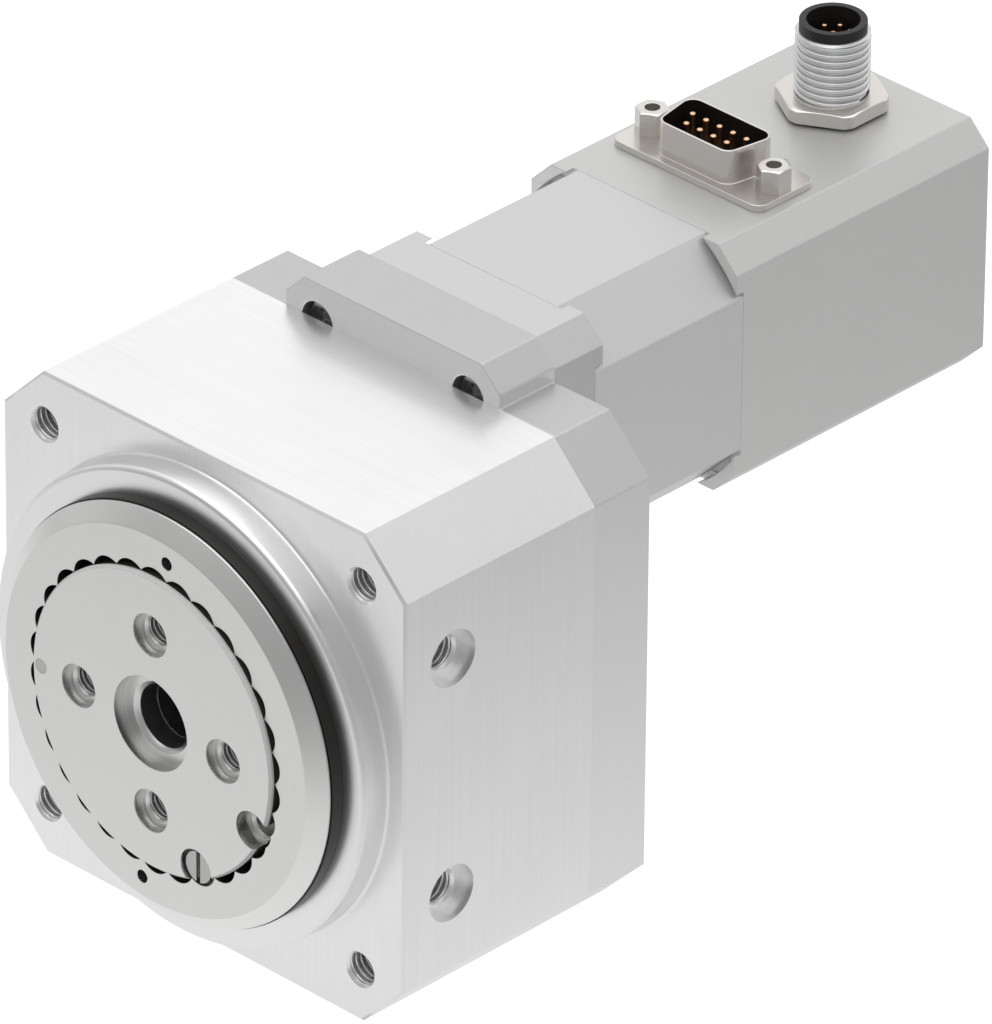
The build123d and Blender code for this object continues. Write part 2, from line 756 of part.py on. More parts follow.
# Stator: laminated stack with eight poles whose shoes face the rotor
shoe_inner_radius = rotor_radius + air_gap
shoe_outer_radius = shoe_inner_radius + stator_shoe_thickness
pole_length = stator_slot_radius - shoe_inner_radius + 1
pole_angles = [360 * i / stator_pole_count for i in range(stator_pole_count)]
with BuildPart() as stator_core:
    with BuildSketch(motor_section(bell_back)):
        motor_outline(stator_corner_chamfer)
        Circle(stator_slot_radius, mode=Mode.SUBTRACT)
        with PolarLocations((shoe_outer_radius + stator_slot_radius) / 2, stator_pole_count):
            Rectangle(pole_length, stator_pole_width)
        Circle(shoe_outer_radius)
        Circle(shoe_inner_radius, mode=Mode.SUBTRACT)
        with PolarLocations((shoe_inner_radius + shoe_outer_radius) / 2, stator_pole_count,
                            180 / stator_pole_count):
            Rectangle(2 * stator_shoe_thickness, stator_slot_mouth, mode=Mode.SUBTRACT)
    extrude(amount=-stator_length)
    rod(m3_radius + screw_clearance, bell_back, stator_back, motor_corner_places,
        motor_axis_height, Mode.SUBTRACT)
save(stator_core, "stator_core")

coil_inner_radius = shoe_outer_radius + running_gap
coil_half_width = stator_pole_width / 2 + coil_clearance + coil_build
coil_outer_radius = math.sqrt((stator_slot_radius - coil_clearance) ** 2 - coil_half_width**2)
with BuildPart() as stator_coils:
    for angle in pole_angles:
        x, z = polar(coil_inner_radius, angle)
        coil_plane = Plane(
            origin=(x, bell_back + stator_length / 2, z + motor_axis_height),
            x_dir=(0, 1, 0),
            z_dir=(x, 0, z),
        )
        inner_length = stator_length + 2 * coil_clearance
        inner_width = stator_pole_width + 2 * coil_clearance
        with BuildSketch(coil_plane):
            outer = Rectangle(inner_length + 2 * coil_build, inner_width + 2 * coil_build)
            fillet(outer.vertices(), coil_build / 2)
            Rectangle(inner_length, inner_width, mode=Mode.SUBTRACT)
        extrude(amount=coil_outer_radius - coil_inner_radius)
save(stator_coils, "stator_coils")

# Rear bearing plate inside the front of the end cap
rear_bearing_back = rear_motor_bearing_centre + motor_bearing_width / 2
washer_back = rear_bearing_back + preload_washer_thickness
coil_room = coil_clearance + coil_build + 1
with BuildPart() as rear_bearing_plate:
    with BuildSketch(motor_section(stator_back)):
        plate_outline = Rectangle(
            cap_cavity_width - 2 * seat_clearance, cap_cavity_width - 2 * seat_clearance
        )
        fillet(plate_outline.vertices(), end_cap_wall)
    extrude(amount=-rear_plate_length)
    tube(bearing_boss_radius, motor_cavity_radius, stator_back, stator_back + coil_room,
         motor_axis_height, Mode.SUBTRACT)
    rod(motor_bearing_seat_radius, stator_back, washer_back, height=motor_axis_height,
        mode=Mode.SUBTRACT)
    rod(shaft_bore_radius, washer_back, rear_plate_back, height=motor_axis_height,
        mode=Mode.SUBTRACT)
    rod(m3_radius + screw_clearance, stator_back, rear_plate_back, motor_corner_places,
        motor_axis_height, Mode.SUBTRACT)
    rod(m3_radius + seat_clearance, stator_back + coil_room, rear_plate_back, cap_screw_places,
        motor_axis_height, Mode.SUBTRACT)
save(rear_bearing_plate, "rear_bearing_plate")

tie_screw_length = rear_plate_back - (mount_screw_seat + mount_screw_length) - tie_screw_gap
motor_tie_screws = socket_screws(
    motor_corner_places, rear_plate_back, -1, m3, tie_screw_length, motor_axis_height
)
save(motor_tie_screws, "motor_tie_screws")

with BuildPart() as preload_washer:
    tube(motor_pitch_radius + motor_ball_radius - motor_ring_land, motor_bearing_outer_radius,
         rear_bearing_back, washer_back, motor_axis_height)
save(preload_washer, "preload_washer")

# Two ball bearings on the motor shaft
motor_inner_ring_radius = motor_pitch_radius - motor_ring_land
motor_outer_ring_radius = motor_pitch_radius + motor_ring_land
for name, centre in (("front", front_motor_bearing_centre), ("rear", rear_motor_bearing_centre)):
    motor_outer_ring = bearing_ring(
        motor_outer_ring_radius, motor_bearing_outer_radius, motor_bearing_width, centre,
        motor_pitch_radius, motor_ball_radius, motor_axis_height
    )
    save(motor_outer_ring, f"{name}_motor_bearing_outer")
    motor_inner_ring = bearing_ring(
        shaft_radius + seat_clearance, motor_inner_ring_radius, motor_bearing_width, centre,
        motor_pitch_radius, motor_ball_radius, motor_axis_height
    )
    save(motor_inner_ring, f"{name}_motor_bearing_inner")
    motor_balls = bearing_balls(
        motor_pitch_radius, motor_ball_radius, motor_ball_count, centre, motor_axis_height
    )
    save(motor_balls, f"{name}_motor_balls")
    motor_cage = bearing_cage(
        motor_pitch_radius, motor_ball_radius, motor_ball_count, centre, motor_ring_land,
        motor_axis_height
    )
    save(motor_cage, f"{name}_motor_cage")

# Rotor: shaft, two stacks and the magnet between them
shaft_front = pinion_front + pinion_setback
encoder_disc_front = encoder_disc_back - encoder_disc_thickness
with BuildPart() as motor_shaft:
    rod(shaft_radius, shaft_front, encoder_disc_back, height=motor_axis_height)
save(motor_shaft, "motor_shaft")

magnet_front = (rotor_front + rotor_back - rotor_magnet_thickness) / 2
magnet_back = magnet_front + rotor_magnet_thickness
rotor_bore_radius = shaft_radius + seat_clearance
rotor_stacks = (
    ("rotor_front_stack", rotor_radius, rotor_front, magnet_front),
    ("rotor_magnet", rotor_magnet_radius, magnet_front, magnet_back),
    ("rotor_rear_stack", rotor_radius, magnet_back, rotor_back),
)
for name, radius, front, back in rotor_stacks:
    with BuildPart() as rotor_stack:
        tube(rotor_bore_radius, radius, front, back, motor_axis_height)
    save(rotor_stack, name)

# End cap: long square shell with a closed back, seats for both connectors and three screw posts
cap_screw_seat = cap_back - m3_head_length - screw_clearance
board_back = board_front + encoder_board_thickness
signal_cut_clearance = 0.2
with BuildPart() as end_cap:
    with BuildSketch(motor_section(stator_back)):
        motor_outline(motor_corner_chamfer)
    extrude(amount=-end_cap_length)
    fillet(end_cap.faces().sort_by(Axis.Y)[-1].edges(), end_cap_edge_round)
    motor_ears(stator_back - corner_ear_length, corner_ear_length)
    with BuildSketch(motor_section(stator_back)):
        cavity_outline = Rectangle(cap_cavity_width, cap_cavity_width)
        fillet(cavity_outline.vertices(), end_cap_wall)
    extrude(amount=-(end_cap_length - end_cap_back), mode=Mode.SUBTRACT)
    rod(cap_post_radius, board_back, cap_back - end_cap_back, cap_screw_places, motor_axis_height)
    rod(m3_radius + screw_clearance, board_back, cap_back, cap_screw_places, motor_axis_height,
        Mode.SUBTRACT)
    rod(m3_head_radius + screw_clearance, cap_screw_seat, cap_back, cap_screw_places,
        motor_axis_height, Mode.SUBTRACT)
    with BuildSketch(Plane.XY.offset(motor_top)):
        with Locations((0, signal_centre)):
            Rectangle(signal_body_length + signal_cut_clearance,
                      signal_body_width + signal_cut_clearance)
        with Locations((-signal_screw_spacing / 2, signal_centre),
                       (signal_screw_spacing / 2, signal_centre)):
            Circle(screwlock_stud_radius + seat_clearance)
        with Locations((0, power_centre)):
            Circle(power_thread_radius + seat_clearance)
    extrude(amount=-2 * end_cap_wall, mode=Mode.SUBTRACT)
save(end_cap, "end_cap")

cap_screw_length = cap_screw_seat - (stator_back + coil_room) - 0.5
end_cap_screws = socket_screws(
    cap_screw_places, cap_screw_seat, -1, m3, cap_screw_length, motor_axis_height
)
save(end_cap_screws, "end_cap_screws")

# Encoder: hub and disc on the shaft, reading head on a board that rests on three sleeves
with BuildPart() as encoder_hub:
    tube(rotor_bore_radius, encoder_hub_radius, encoder_disc_front - encoder_hub_length,
         encoder_disc_front, motor_axis_height)
save(encoder_hub, "encoder_hub")

with BuildPart() as encoder_disc:
    tube(rotor_bore_radius, encoder_disc_radius, encoder_disc_front, encoder_disc_back,
         motor_axis_height)
save(encoder_disc, "encoder_disc")

board_edge_gap = 1.0
with BuildPart() as encoder_board:
    with BuildSketch(motor_section(board_front)):
        board_outline = Rectangle(cap_cavity_width - 2 * board_edge_gap,
                                  cap_cavity_width - 2 * board_edge_gap)
        chamfer(board_outline.vertices(), motor_corner_chamfer)
    extrude(amount=-encoder_board_thickness)
    rod(m3_radius + screw_clearance, board_front, board_back, cap_screw_places,
        motor_axis_height, Mode.SUBTRACT)
save(encoder_board, "encoder_board")

with BuildPart() as encoder_reader:
    with BuildSketch(motor_section(board_front - encoder_reader_length)):
        with Locations((0, encoder_disc_radius)):
            Rectangle(encoder_reader_width, encoder_reader_width)
    extrude(amount=-encoder_reader_length)
save(encoder_reader, "encoder_reader")

sleeve_wall = 1.2
with BuildPart() as encoder_standoffs:
    with BuildSketch(motor_section(rear_plate_back)):
        with Locations(*cap_screw_places):
            Circle(m3_radius + screw_clearance + sleeve_wall)
            Circle(m3_radius + screw_clearance, mode=Mode.SUBTRACT)
    extrude(amount=-encoder_board_setback)
save(encoder_standoffs, "encoder_standoffs")

# Signal connector: flanged shell, black insulator, nine pins and two hexagonal screwlocks
signal_flange_top = motor_top + signal_flange_thickness
signal_shell_top = motor_top + signal_shell_height
signal_body_bottom = motor_top - signal_body_depth
signal_insert_top = motor_top + signal_insert_height
signal_plane = Plane(origin=(0, signal_centre, motor_top), x_dir=(1, 0, 0), z_dir=(0, 0, 1))
shell_inner_length = signal_shell_length - 2 * signal_shell_wall
shell_inner_width = signal_shell_width - 2 * signal_shell_wall
screwlock_places = [(-signal_screw_spacing / 2, 0), (signal_screw_spacing / 2, 0)]
with BuildPart() as signal_connector_shell:
    with BuildSketch(signal_plane):
        RectangleRounded(signal_flange_length, signal_flange_width, signal_flange_corner)
        with Locations(*screwlock_places):
            Circle(screwlock_stud_radius + seat_clearance, mode=Mode.SUBTRACT)
    extrude(amount=signal_flange_thickness)
    with BuildSketch(signal_plane):
        d_outline(signal_shell_length, signal_shell_width, signal_shell_corner)
    extrude(amount=signal_shell_height)
    with BuildSketch(signal_plane):
        d_outline(shell_inner_length, shell_inner_width, signal_shell_corner - signal_shell_wall)
    extrude(amount=signal_shell_height, mode=Mode.SUBTRACT)
save(signal_connector_shell, "signal_connector_shell")

pin_places = [((i - 2) * signal_pin_pitch, signal_row_spacing / 2) for i in range(5)]
pin_places += [((i - 1.5) * signal_pin_pitch, -signal_row_spacing / 2) for i in range(4)]
with BuildPart() as signal_connector_insulator:
    with BuildSketch(signal_plane):
        Rectangle(signal_body_length, signal_body_width)
    extrude(amount=-signal_body_depth)
    with BuildSketch(signal_plane):
        d_outline(shell_inner_length - 2 * seat_clearance, shell_inner_width - 2 * seat_clearance,
                  signal_shell_corner - signal_shell_wall)
    extrude(amount=signal_insert_height)
    with BuildSketch(signal_plane.offset(signal_insert_height)):
        with Locations(*pin_places):
            Circle(signal_pin_radius + seat_clearance)
    extrude(amount=-(signal_insert_height + signal_body_depth), mode=Mode.SUBTRACT)
save(signal_connector_insulator, "signal_connector_insulator")

pin_top = signal_shell_height - signal_pin_recess
with BuildPart() as signal_connector_pins:
    with BuildSketch(signal_plane.offset(pin_top)):
        with Locations(*pin_places):
            Circle(signal_pin_radius)
    extrude(amount=-(pin_top + signal_body_depth + signal_pin_tail))
save(signal_connector_pins, "signal_connector_pins")

with BuildPart() as signal_connector_screwlocks:
    with BuildSketch(signal_plane.offset(signal_flange_thickness)):
        with Locations(*screwlock_places):
            RegularPolygon(screwlock_across_flats / 2, 6, major_radius=False,
                           rotation=connector_hexagon_turn)
    extrude(amount=screwlock_height)
    with BuildSketch(signal_plane.offset(signal_flange_thickness + screwlock_height)):
        with Locations(*screwlock_places):
            Circle(screwlock_bore_radius)
    extrude(amount=-screwlock_height, mode=Mode.SUBTRACT)
    with BuildSketch(signal_plane.offset(signal_flange_thickness)):
        with Locations(*screwlock_places):
            Circle(screwlock_stud_radius)
    extrude(amount=-(signal_flange_thickness + end_cap_wall))
save(signal_connector_screwlocks, "signal_connector_screwlocks")

# Power connector: threaded tube with an inner flange, black insert, eight pins, nut and gasket
power_plane = Plane(origin=(0, power_centre, motor_top), x_dir=(1, 0, 0), z_dir=(0, 0, 1))
power_tail = end_cap_wall + power_flange_thickness
power_top = power_thread_top + power_insert_rim_height
with BuildPart() as power_connector_body:
    with BuildSketch(power_plane.offset(-power_tail)):
        Circle(power_thread_radius)
    extrude(amount=power_tail + power_thread_top)
    with BuildSketch(power_plane.offset(-power_tail)):
        Circle(power_flange_radius)
    extrude(amount=power_flange_thickness)
    with BuildSketch(power_plane.offset(-power_tail)):
        Circle(power_bore_radius)
    extrude(amount=power_tail + power_thread_top, mode=Mode.SUBTRACT)
save(power_connector_body, "power_connector_body")

power_pin_places = [
    polar(power_pin_circle / 2, power_pin_turn + 360 / power_pin_ring_count * i)
    for i in range(power_pin_ring_count)
]
power_pin_places.append((0, 0))
with BuildPart() as power_connector_insert:
    with BuildSketch(power_plane.offset(-power_tail)):
        Circle(power_bore_radius - seat_clearance)
    extrude(amount=power_tail + power_thread_top)
    with BuildSketch(power_plane.offset(power_thread_top)):
        Circle(power_insert_rim_radius)
    extrude(amount=power_insert_rim_height)
    with BuildSketch(power_plane.offset(power_top)):
        Circle(power_cavity_radius)
    extrude(amount=-power_cavity_depth, mode=Mode.SUBTRACT)
    with BuildSketch(power_plane.offset(-power_tail)):
        with Locations(*power_pin_places):
            Circle(power_pin_radius + seat_clearance)
    extrude(amount=power_tail + power_top, mode=Mode.SUBTRACT)
save(power_connector_insert, "power_connector_insert")

with BuildPart() as power_connector_pins:
    with BuildSketch(power_plane.offset(-power_tail)):
        with Locations(*power_pin_places):
            Circle(power_pin_radius)
    extrude(amount=power_tail + power_top - power_pin_recess)
save(power_connector_pins, "power_connector_pins")

with BuildPart() as power_connector_gasket:
    with BuildSketch(power_plane):
        Circle(power_gasket_radius)
        Circle(power_thread_radius + seat_clearance, mode=Mode.SUBTRACT)
    extrude(amount=power_gasket_thickness)
save(power_connector_gasket, "power_connector_gasket")

with BuildPart() as power_connector_nut:
    with BuildSketch(power_plane.offset(power_gasket_thickness)):
        Circle(power_nut_corner_radius)
        RegularPolygon(power_nut_across_flats / 2, 6, major_radius=False,
                       rotation=connector_hexagon_turn, mode=Mode.INTERSECT)
        Circle(power_thread_radius + seat_clearance, mode=Mode.SUBTRACT)
    extrude(amount=power_nut_height)
save(power_connector_nut, "power_connector_nut")
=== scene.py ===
"""Dresses the semi-rotary actuator: machined block, index flange, gray motor and its two connectors."""

import logging
import math
from contextlib import contextmanager
from dataclasses import dataclass
from enum import Enum
from typing import Any, Callable, Iterable, Iterator, Optional, Sequence

import bmesh
import bpy
from mathutils import Matrix, Vector


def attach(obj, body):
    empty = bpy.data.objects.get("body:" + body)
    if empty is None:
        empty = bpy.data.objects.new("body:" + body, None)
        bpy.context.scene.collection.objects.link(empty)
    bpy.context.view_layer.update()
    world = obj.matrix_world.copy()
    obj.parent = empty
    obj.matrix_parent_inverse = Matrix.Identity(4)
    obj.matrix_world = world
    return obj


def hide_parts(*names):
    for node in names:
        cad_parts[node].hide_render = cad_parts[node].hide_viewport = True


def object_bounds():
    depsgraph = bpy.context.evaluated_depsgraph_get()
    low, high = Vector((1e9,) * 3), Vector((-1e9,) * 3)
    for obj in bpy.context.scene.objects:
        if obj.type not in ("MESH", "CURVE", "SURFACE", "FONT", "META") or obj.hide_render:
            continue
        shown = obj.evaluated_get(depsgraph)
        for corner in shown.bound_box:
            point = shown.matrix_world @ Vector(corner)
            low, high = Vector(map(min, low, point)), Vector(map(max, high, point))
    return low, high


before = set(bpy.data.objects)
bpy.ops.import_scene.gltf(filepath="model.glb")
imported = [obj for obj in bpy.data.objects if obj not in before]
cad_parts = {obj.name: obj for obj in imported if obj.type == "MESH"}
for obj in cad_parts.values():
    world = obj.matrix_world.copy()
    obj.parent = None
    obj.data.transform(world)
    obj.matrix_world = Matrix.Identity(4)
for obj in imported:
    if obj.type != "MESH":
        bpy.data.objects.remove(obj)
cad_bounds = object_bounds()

log = logging.getLogger("actuator")

MM = 0.001
MERGE_MM = 0.0004
LATHE_MERGE_MM = 0.0005
FLAT_DEG = 0.4
CLOUD_MM = 18
GLOSS_CHANGE = 0.02
METAL_RELIEF_MM = 0.02
MOULDED_GLOSS_CHANGE = 0.06
MOULDED_RELIEF_MM = 0.03
BEVEL_SAMPLES = 6
STROKE_STRETCH = 60
FINE_SEGMENTS = 256
CONE_SEGMENTS = 128
HOLE_SEGMENTS = 64

Point = tuple[float, float, float]
Links = dict[Any, Any]
Piece = bpy.types.Object
Tree = bpy.types.NodeTree
Socket = bpy.types.NodeSocket


class Body(Enum):
    """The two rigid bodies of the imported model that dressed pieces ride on."""

    HOUSING = "housing"
    OUTPUT = "output"


class Lay(Enum):
    """The way that the fine tool marks of a metal surface run."""

    BLOCK_FACES = "along X on the top, upright on the sides"
    TURNED = "in circles about the output axis"
    NONE = "no direction, a cast or coated surface"


def linear(hex_colour: str) -> tuple[float, float, float, float]:
    """Turns an sRGB hex colour into the linear colour that shaders take.

    Args:
        hex_colour: Six hex digits, such as "C8C4C0".

    Returns:
        The red, green, blue and alpha values.
    """
    parts = [int(hex_colour[i : i + 2], 16) / 255 for i in (0, 2, 4)]
    red, green, blue = (v / 12.92 if v <= 0.04045 else ((v + 0.055) / 1.055) ** 2.4 for v in parts)
    return (red, green, blue, 1.0)


def add(tree: Tree, kind: str, inputs: Optional[Links] = None, **settings: Any) -> Any:
    """Adds one node to a tree.

    Args:
        tree: The shader or geometry tree.
        kind: The node's type name.
        inputs: Input name or number to a value, or to the output socket that feeds it.
        settings: Attributes of the node itself.

    Returns:
        The new node.
    """
    node = tree.nodes.new(kind)
    for name, value in settings.items():
        setattr(node, name, value)
    for key, value in (inputs or {}).items():
        socket = node.inputs[key]
        if isinstance(value, Socket):
            tree.links.new(value, socket)
        else:
            socket.default_value = value
    return node


def blank(name: str) -> bpy.types.Material:
    """Makes a new material with an empty tree."""
    material = bpy.data.materials.new(name)
    material.use_nodes = True
    material.node_tree.nodes.clear()
    return material


@dataclass(frozen=True)
class Finish:
    """A surface, named for the real material."""

    name: str
    colour: str

    def material(self) -> bpy.types.Material:
        """Builds the material, or returns the one already built.

        Returns:
            The finished material.
        """
        known = bpy.data.materials.get(self.name)
        if known:
            return known
        material = blank(self.name)
        self._shade(material.node_tree)
        return material

    def _shade(self, tree: Tree) -> None:
        """Builds the shader in the material's empty tree."""
        raise NotImplementedError


@dataclass(frozen=True)
class Metal(Finish):
    """Machined, ground, plated or coated metal with its tool marks, small colour changes and, where set,
    painted shade on faces that look up.
    """

    metallic: float
    roughness: float
    lay: Lay = Lay.NONE
    mark_spacing_mm: float = 0.25
    mark_depth: float = 0.1
    tone_change: float = 0.03
    grain_mm: float = 0.6
    edge_mm: float = 0.0
    # Painted shade: the tone that faces looking straight up are darkened to, for how the light falls on
    # them
    painted_top_shade: float = 1.0

    def _shade(self, tree: Tree) -> None:
        """Builds the shader.

        Args:
            tree: The material's empty tree.
        """
        place = add(tree, "ShaderNodeTexCoord")
        marks = self._marks(tree, place)
        spot = place.outputs["Object"]
        fine = {"Vector": spot, "Scale": 1 / (self.grain_mm * MM), "Detail": 0.0}
        grain = add(tree, "ShaderNodeTexNoise", fine)
        broad = {"Vector": spot, "Scale": 1 / (CLOUD_MM * MM), "Detail": 2.0}
        cloud = add(tree, "ShaderNodeTexNoise", broad)
        tone = add(
            tree,
            "ShaderNodeMapRange",
            {
                "Value": self._blend(tree, marks, cloud.outputs["Fac"], 0.45),
                "From Min": 0.3,
                "From Max": 0.7,
                "To Min": 1 - self.tone_change,
                "To Max": 1 + self.tone_change,
            },
        )
        # Painted shade: faces that look up are darkened towards the top tone, side faces keep their full
        # colour
        upward = add(tree, "ShaderNodeSeparateXYZ", {0: place.outputs["Normal"]})
        by_slope = {"Value": upward.outputs["Z"], "To Min": 1.0, "To Max": self.painted_top_shade}
        shade = add(tree, "ShaderNodeMapRange", by_slope)
        tones = {0: tone.outputs["Result"], 1: shade.outputs["Result"]}
        share = add(tree, "ShaderNodeMath", tones, operation="MULTIPLY")
        tinted = {0: linear(self.colour)[:3], "Scale": share.outputs[0]}
        base = add(tree, "ShaderNodeVectorMath", tinted, operation="SCALE")
        gloss = add(
            tree,
            "ShaderNodeMapRange",
            {
                "Value": self._blend(tree, marks, grain.outputs["Fac"], 0.5),
                "From Min": 0.25,
                "From Max": 0.75,
                "To Min": self.roughness - GLOSS_CHANGE,
                "To Max": self.roughness + GLOSS_CHANGE,
            },
        )
        relief = add(
            tree,
            "ShaderNodeBump",
            {
                "Height": self._blend(tree, marks, grain.outputs["Fac"], 0.35),
                "Strength": self.mark_depth,
                "Distance": METAL_RELIEF_MM * MM,
            },
        )
        if self.edge_mm:
            round_edge = add(tree, "ShaderNodeBevel", {"Radius": self.edge_mm * MM}, samples=BEVEL_SAMPLES)
            tree.links.new(round_edge.outputs["Normal"], relief.inputs["Normal"])
        shader = add(
            tree,
            "ShaderNodeBsdfPrincipled",
            {
                "Base Color": base.outputs["Vector"],
                "Metallic": self.metallic,
                "Roughness": gloss.outputs["Result"],
                "Normal": relief.outputs["Normal"],
            },
        )
        add(tree, "ShaderNodeOutputMaterial", {"Surface": shader.outputs["BSDF"]})

    def _blend(self, tree: Tree, first: Socket, second: Socket, share: float) -> Socket:
        """Mixes two patterns' sockets, with the given share of the second, and returns the mix's."""
        mix = add(tree, "ShaderNodeMix", {0: share, 2: first, 3: second}, data_type="FLOAT")
        return mix.outputs[0]

    def _marks(self, tree: Tree, place: bpy.types.Node) -> Socket:
        """Builds the tool mark pattern for this metal's lay.

        Args:
            tree: The material's tree.
            place: The texture coordinate node.

        Returns:
            The output socket of the pattern.
        """
        across = 1 / (self.mark_spacing_mm * MM)
        along = across / STROKE_STRETCH
        spot = place.outputs["Object"]
        if self.lay is Lay.NONE:
            spots = add(tree, "ShaderNodeTexNoise", {"Vector": spot, "Scale": across / 2, "Detail": 0.0})
            return spots.outputs["Fac"]
        if self.lay is Lay.TURNED:
            split = add(tree, "ShaderNodeSeparateXYZ", {0: spot}).outputs
            flat = add(tree, "ShaderNodeCombineXYZ", {"X": split["X"], "Y": split["Z"]})
            radius = add(tree, "ShaderNodeVectorMath", {0: flat.outputs["Vector"]}, operation="LENGTH")
            grooves = add(tree, "ShaderNodeCombineXYZ", {"X": radius.outputs["Value"], "Y": split["Y"]})
            ring = {"Vector": grooves.outputs["Vector"], "Scale": across, "Detail": 0.0}
            return add(tree, "ShaderNodeTexNoise", ring).outputs["Fac"]
        strokes = []
        for stretch in ((along, across, across), (across, across, along)):
            scaled = add(tree, "ShaderNodeMapping", {"Vector": spot, "Scale": stretch})
            stroke = {"Vector": scaled.outputs["Vector"], "Scale": 1.0, "Detail": 0.0}
            strokes.append(add(tree, "ShaderNodeTexNoise", stroke).outputs["Fac"])
        facing = add(tree, "ShaderNodeSeparateXYZ", {0: place.outputs["Normal"]})
        on_top = add(
            tree, "ShaderNodeMapRange", {"Value": facing.outputs["Z"], "From Min": 0.8, "From Max": 0.9}
        )
        on_faces = {0: on_top.outputs["Result"], 2: strokes[1], 3: strokes[0]}
        choice = add(tree, "ShaderNodeMix", on_faces, data_type="FLOAT")
        return choice.outputs[0]


@dataclass(frozen=True)
class Moulded(Finish):
    """A plastic, rubber, lacquer or glass-like surface with a fine moulded grain."""

    roughness: float
    grain_mm: float = 0.15
    grain_depth: float = 0.12
    coat: float = 0.0

    def _shade(self, tree: Tree) -> None:
        """Builds the shader.

        Args:
            tree: The material's empty tree.
        """
        place = add(tree, "ShaderNodeTexCoord")
        fine = {"Vector": place.outputs["Object"], "Scale": 1 / (self.grain_mm * MM), "Detail": 2.0}
        grain = add(tree, "ShaderNodeTexNoise", fine)
        gloss = add(
            tree,
            "ShaderNodeMapRange",
            {
                "Value": grain.outputs["Fac"],
                "To Min": self.roughness - MOULDED_GLOSS_CHANGE,
                "To Max": self.roughness + MOULDED_GLOSS_CHANGE,
            },
        )
        relief = add(
            tree,
            "ShaderNodeBump",
            {
                "Height": grain.outputs["Fac"],
                "Strength": self.grain_depth,
                "Distance": MOULDED_RELIEF_MM * MM,
            },
        )
        shader = add(
            tree,
            "ShaderNodeBsdfPrincipled",
            {
                "Base Color": linear(self.colour),
                "Roughness": gloss.outputs["Result"],
                "Normal": relief.outputs["Normal"],
                "Coat Weight": self.coat,
            },
        )
        add(tree, "ShaderNodeOutputMaterial", {"Surface": shader.outputs["BSDF"]})


# Milled aluminium, clear anodised: nearly white, with fine strokes and soft reflections
MILLED_BLOCK = Metal(
    "milled_aluminium_block", "F5F5F5", 0.8, 0.3, Lay.BLOCK_FACES, 0.35, 0.12, 0.025
)
# Turned aluminium: blurred rings that mirror the black seal beside the collar's front face
COLLAR_FACE = Metal("turned_collar_face", "EAEAEA", 1.0, 0.3, Lay.TURNED, 0.2, 0.06, 0.01)
# Light gray satin coat on the gear cover: even tone, blurred reflections, and painted shade that makes it
# darker on top
COVER_GRAY = Metal("satin_gray_cover", "F0F0F0", 0.85, 0.32, Lay.NONE, 0.3, 0.06, 0.012, 0.6, 0.4, 0.64)
# The same coat on the motor's front bell, its stator and its end cap, each in a tone of its own set to how
# that part is lit, and each with painted shade on top
BELL_GRAY = Metal("satin_gray_motor_bell", "DADADA", 0.5, 0.4, Lay.NONE, 0.3, 0.06, 0.012, 0.6, 0.35, 0.97)
STATOR_GRAY = Metal("satin_gray_stator", "EFEFEF", 0.5, 0.4, Lay.NONE, 0.3, 0.06, 0.012, 0.6, 0.35, 0.79)
CAP_GRAY = Metal("satin_gray_end_cap", "F0F0EF", 0.5, 0.4, Lay.NONE, 0.3, 0.06, 0.012, 0.6, 0.35, 0.74)
# Hardened steel, face-turned and plated: faint rings, mid gray
FLANGE_STEEL = Metal("turned_flange_steel", "D8D8D7", 1.0, 0.3, Lay.TURNED, 0.12, 0.05, 0.01, edge_mm=0.15)
DISC_STEEL = Metal("ground_disc_steel", "D8D8D7", 1.0, 0.32, Lay.NONE, 0.2, 0.04, 0.01, edge_mm=0.15)
# The same turned steel on the flange's chamfer, in a lighter tone: a painted highlight matched to the
# photo's light
FLANGE_BEVEL = Metal("turned_chamfer_painted_highlight", "E8E8E7", 1.0, 0.34, Lay.TURNED, 0.12, 0.04, 0.01)
# Turned steel pins and zinc plated screws: bright, with small dark reflections
PIN_STEEL = Metal("turned_pin_steel", "B9B9B8", 0.9, 0.3, Lay.NONE, 0.15, 0.08, 0.03, edge_mm=0.12)
SCREW_STEEL = Metal("zinc_plated_screw", "C4C4C6", 0.95, 0.22, Lay.NONE, 0.15, 0.06, 0.03, edge_mm=0.15)
BEARING_STEEL = Metal("polished_bearing_steel", "C8C8CA", 1.0, 0.12, Lay.TURNED, 0.1, 0.03, 0.01)
GEAR_STEEL = Metal("hobbed_gear_steel", "8C8C8E", 1.0, 0.3, Lay.NONE, 0.15, 0.1, 0.04)
# The disc's turned rim, matt and pale, not mirror-like: a painted highlight matched to the light band in
# the photo
DISC_RIM = Metal("disc_rim_painted_highlight", "F4F4F3", 0.0, 0.6, Lay.TURNED, 0.12, 0.08, 0.02)
# The same wall down in the index pockets, in a dark tone matched to the photo's light
POCKET_STEEL = Metal("shaded_pocket_steel", "55504B", 0.3, 0.45, Lay.NONE, 0.2, 0.02, 0.01)
SHAFT_STEEL = Metal("ground_shaft_steel", "BEBEC0", 1.0, 0.2, Lay.NONE, 0.1, 0.04, 0.02)
LAMINATION = Metal("stacked_lamination_steel", "8F9092", 0.9, 0.4, Lay.NONE, 0.35, 0.2, 0.05)
MAGNET = Metal("sintered_magnet", "4A4A4C", 0.8, 0.45, Lay.NONE, 0.2, 0.15, 0.05)
COPPER = Metal("enamelled_copper_wire", "B8683A", 0.9, 0.3, Lay.NONE, 0.3, 0.3, 0.08)
BRASS = Metal("pressed_brass_cage", "C8A050", 1.0, 0.28, Lay.NONE, 0.2, 0.08, 0.03)
# Nickel plating on the connectors: warm, mirror-like but softly blurred
NICKEL = Metal("warm_nickel_plate", "E2DEDA", 0.85, 0.24, Lay.NONE, 0.2, 0.02, 0.008)
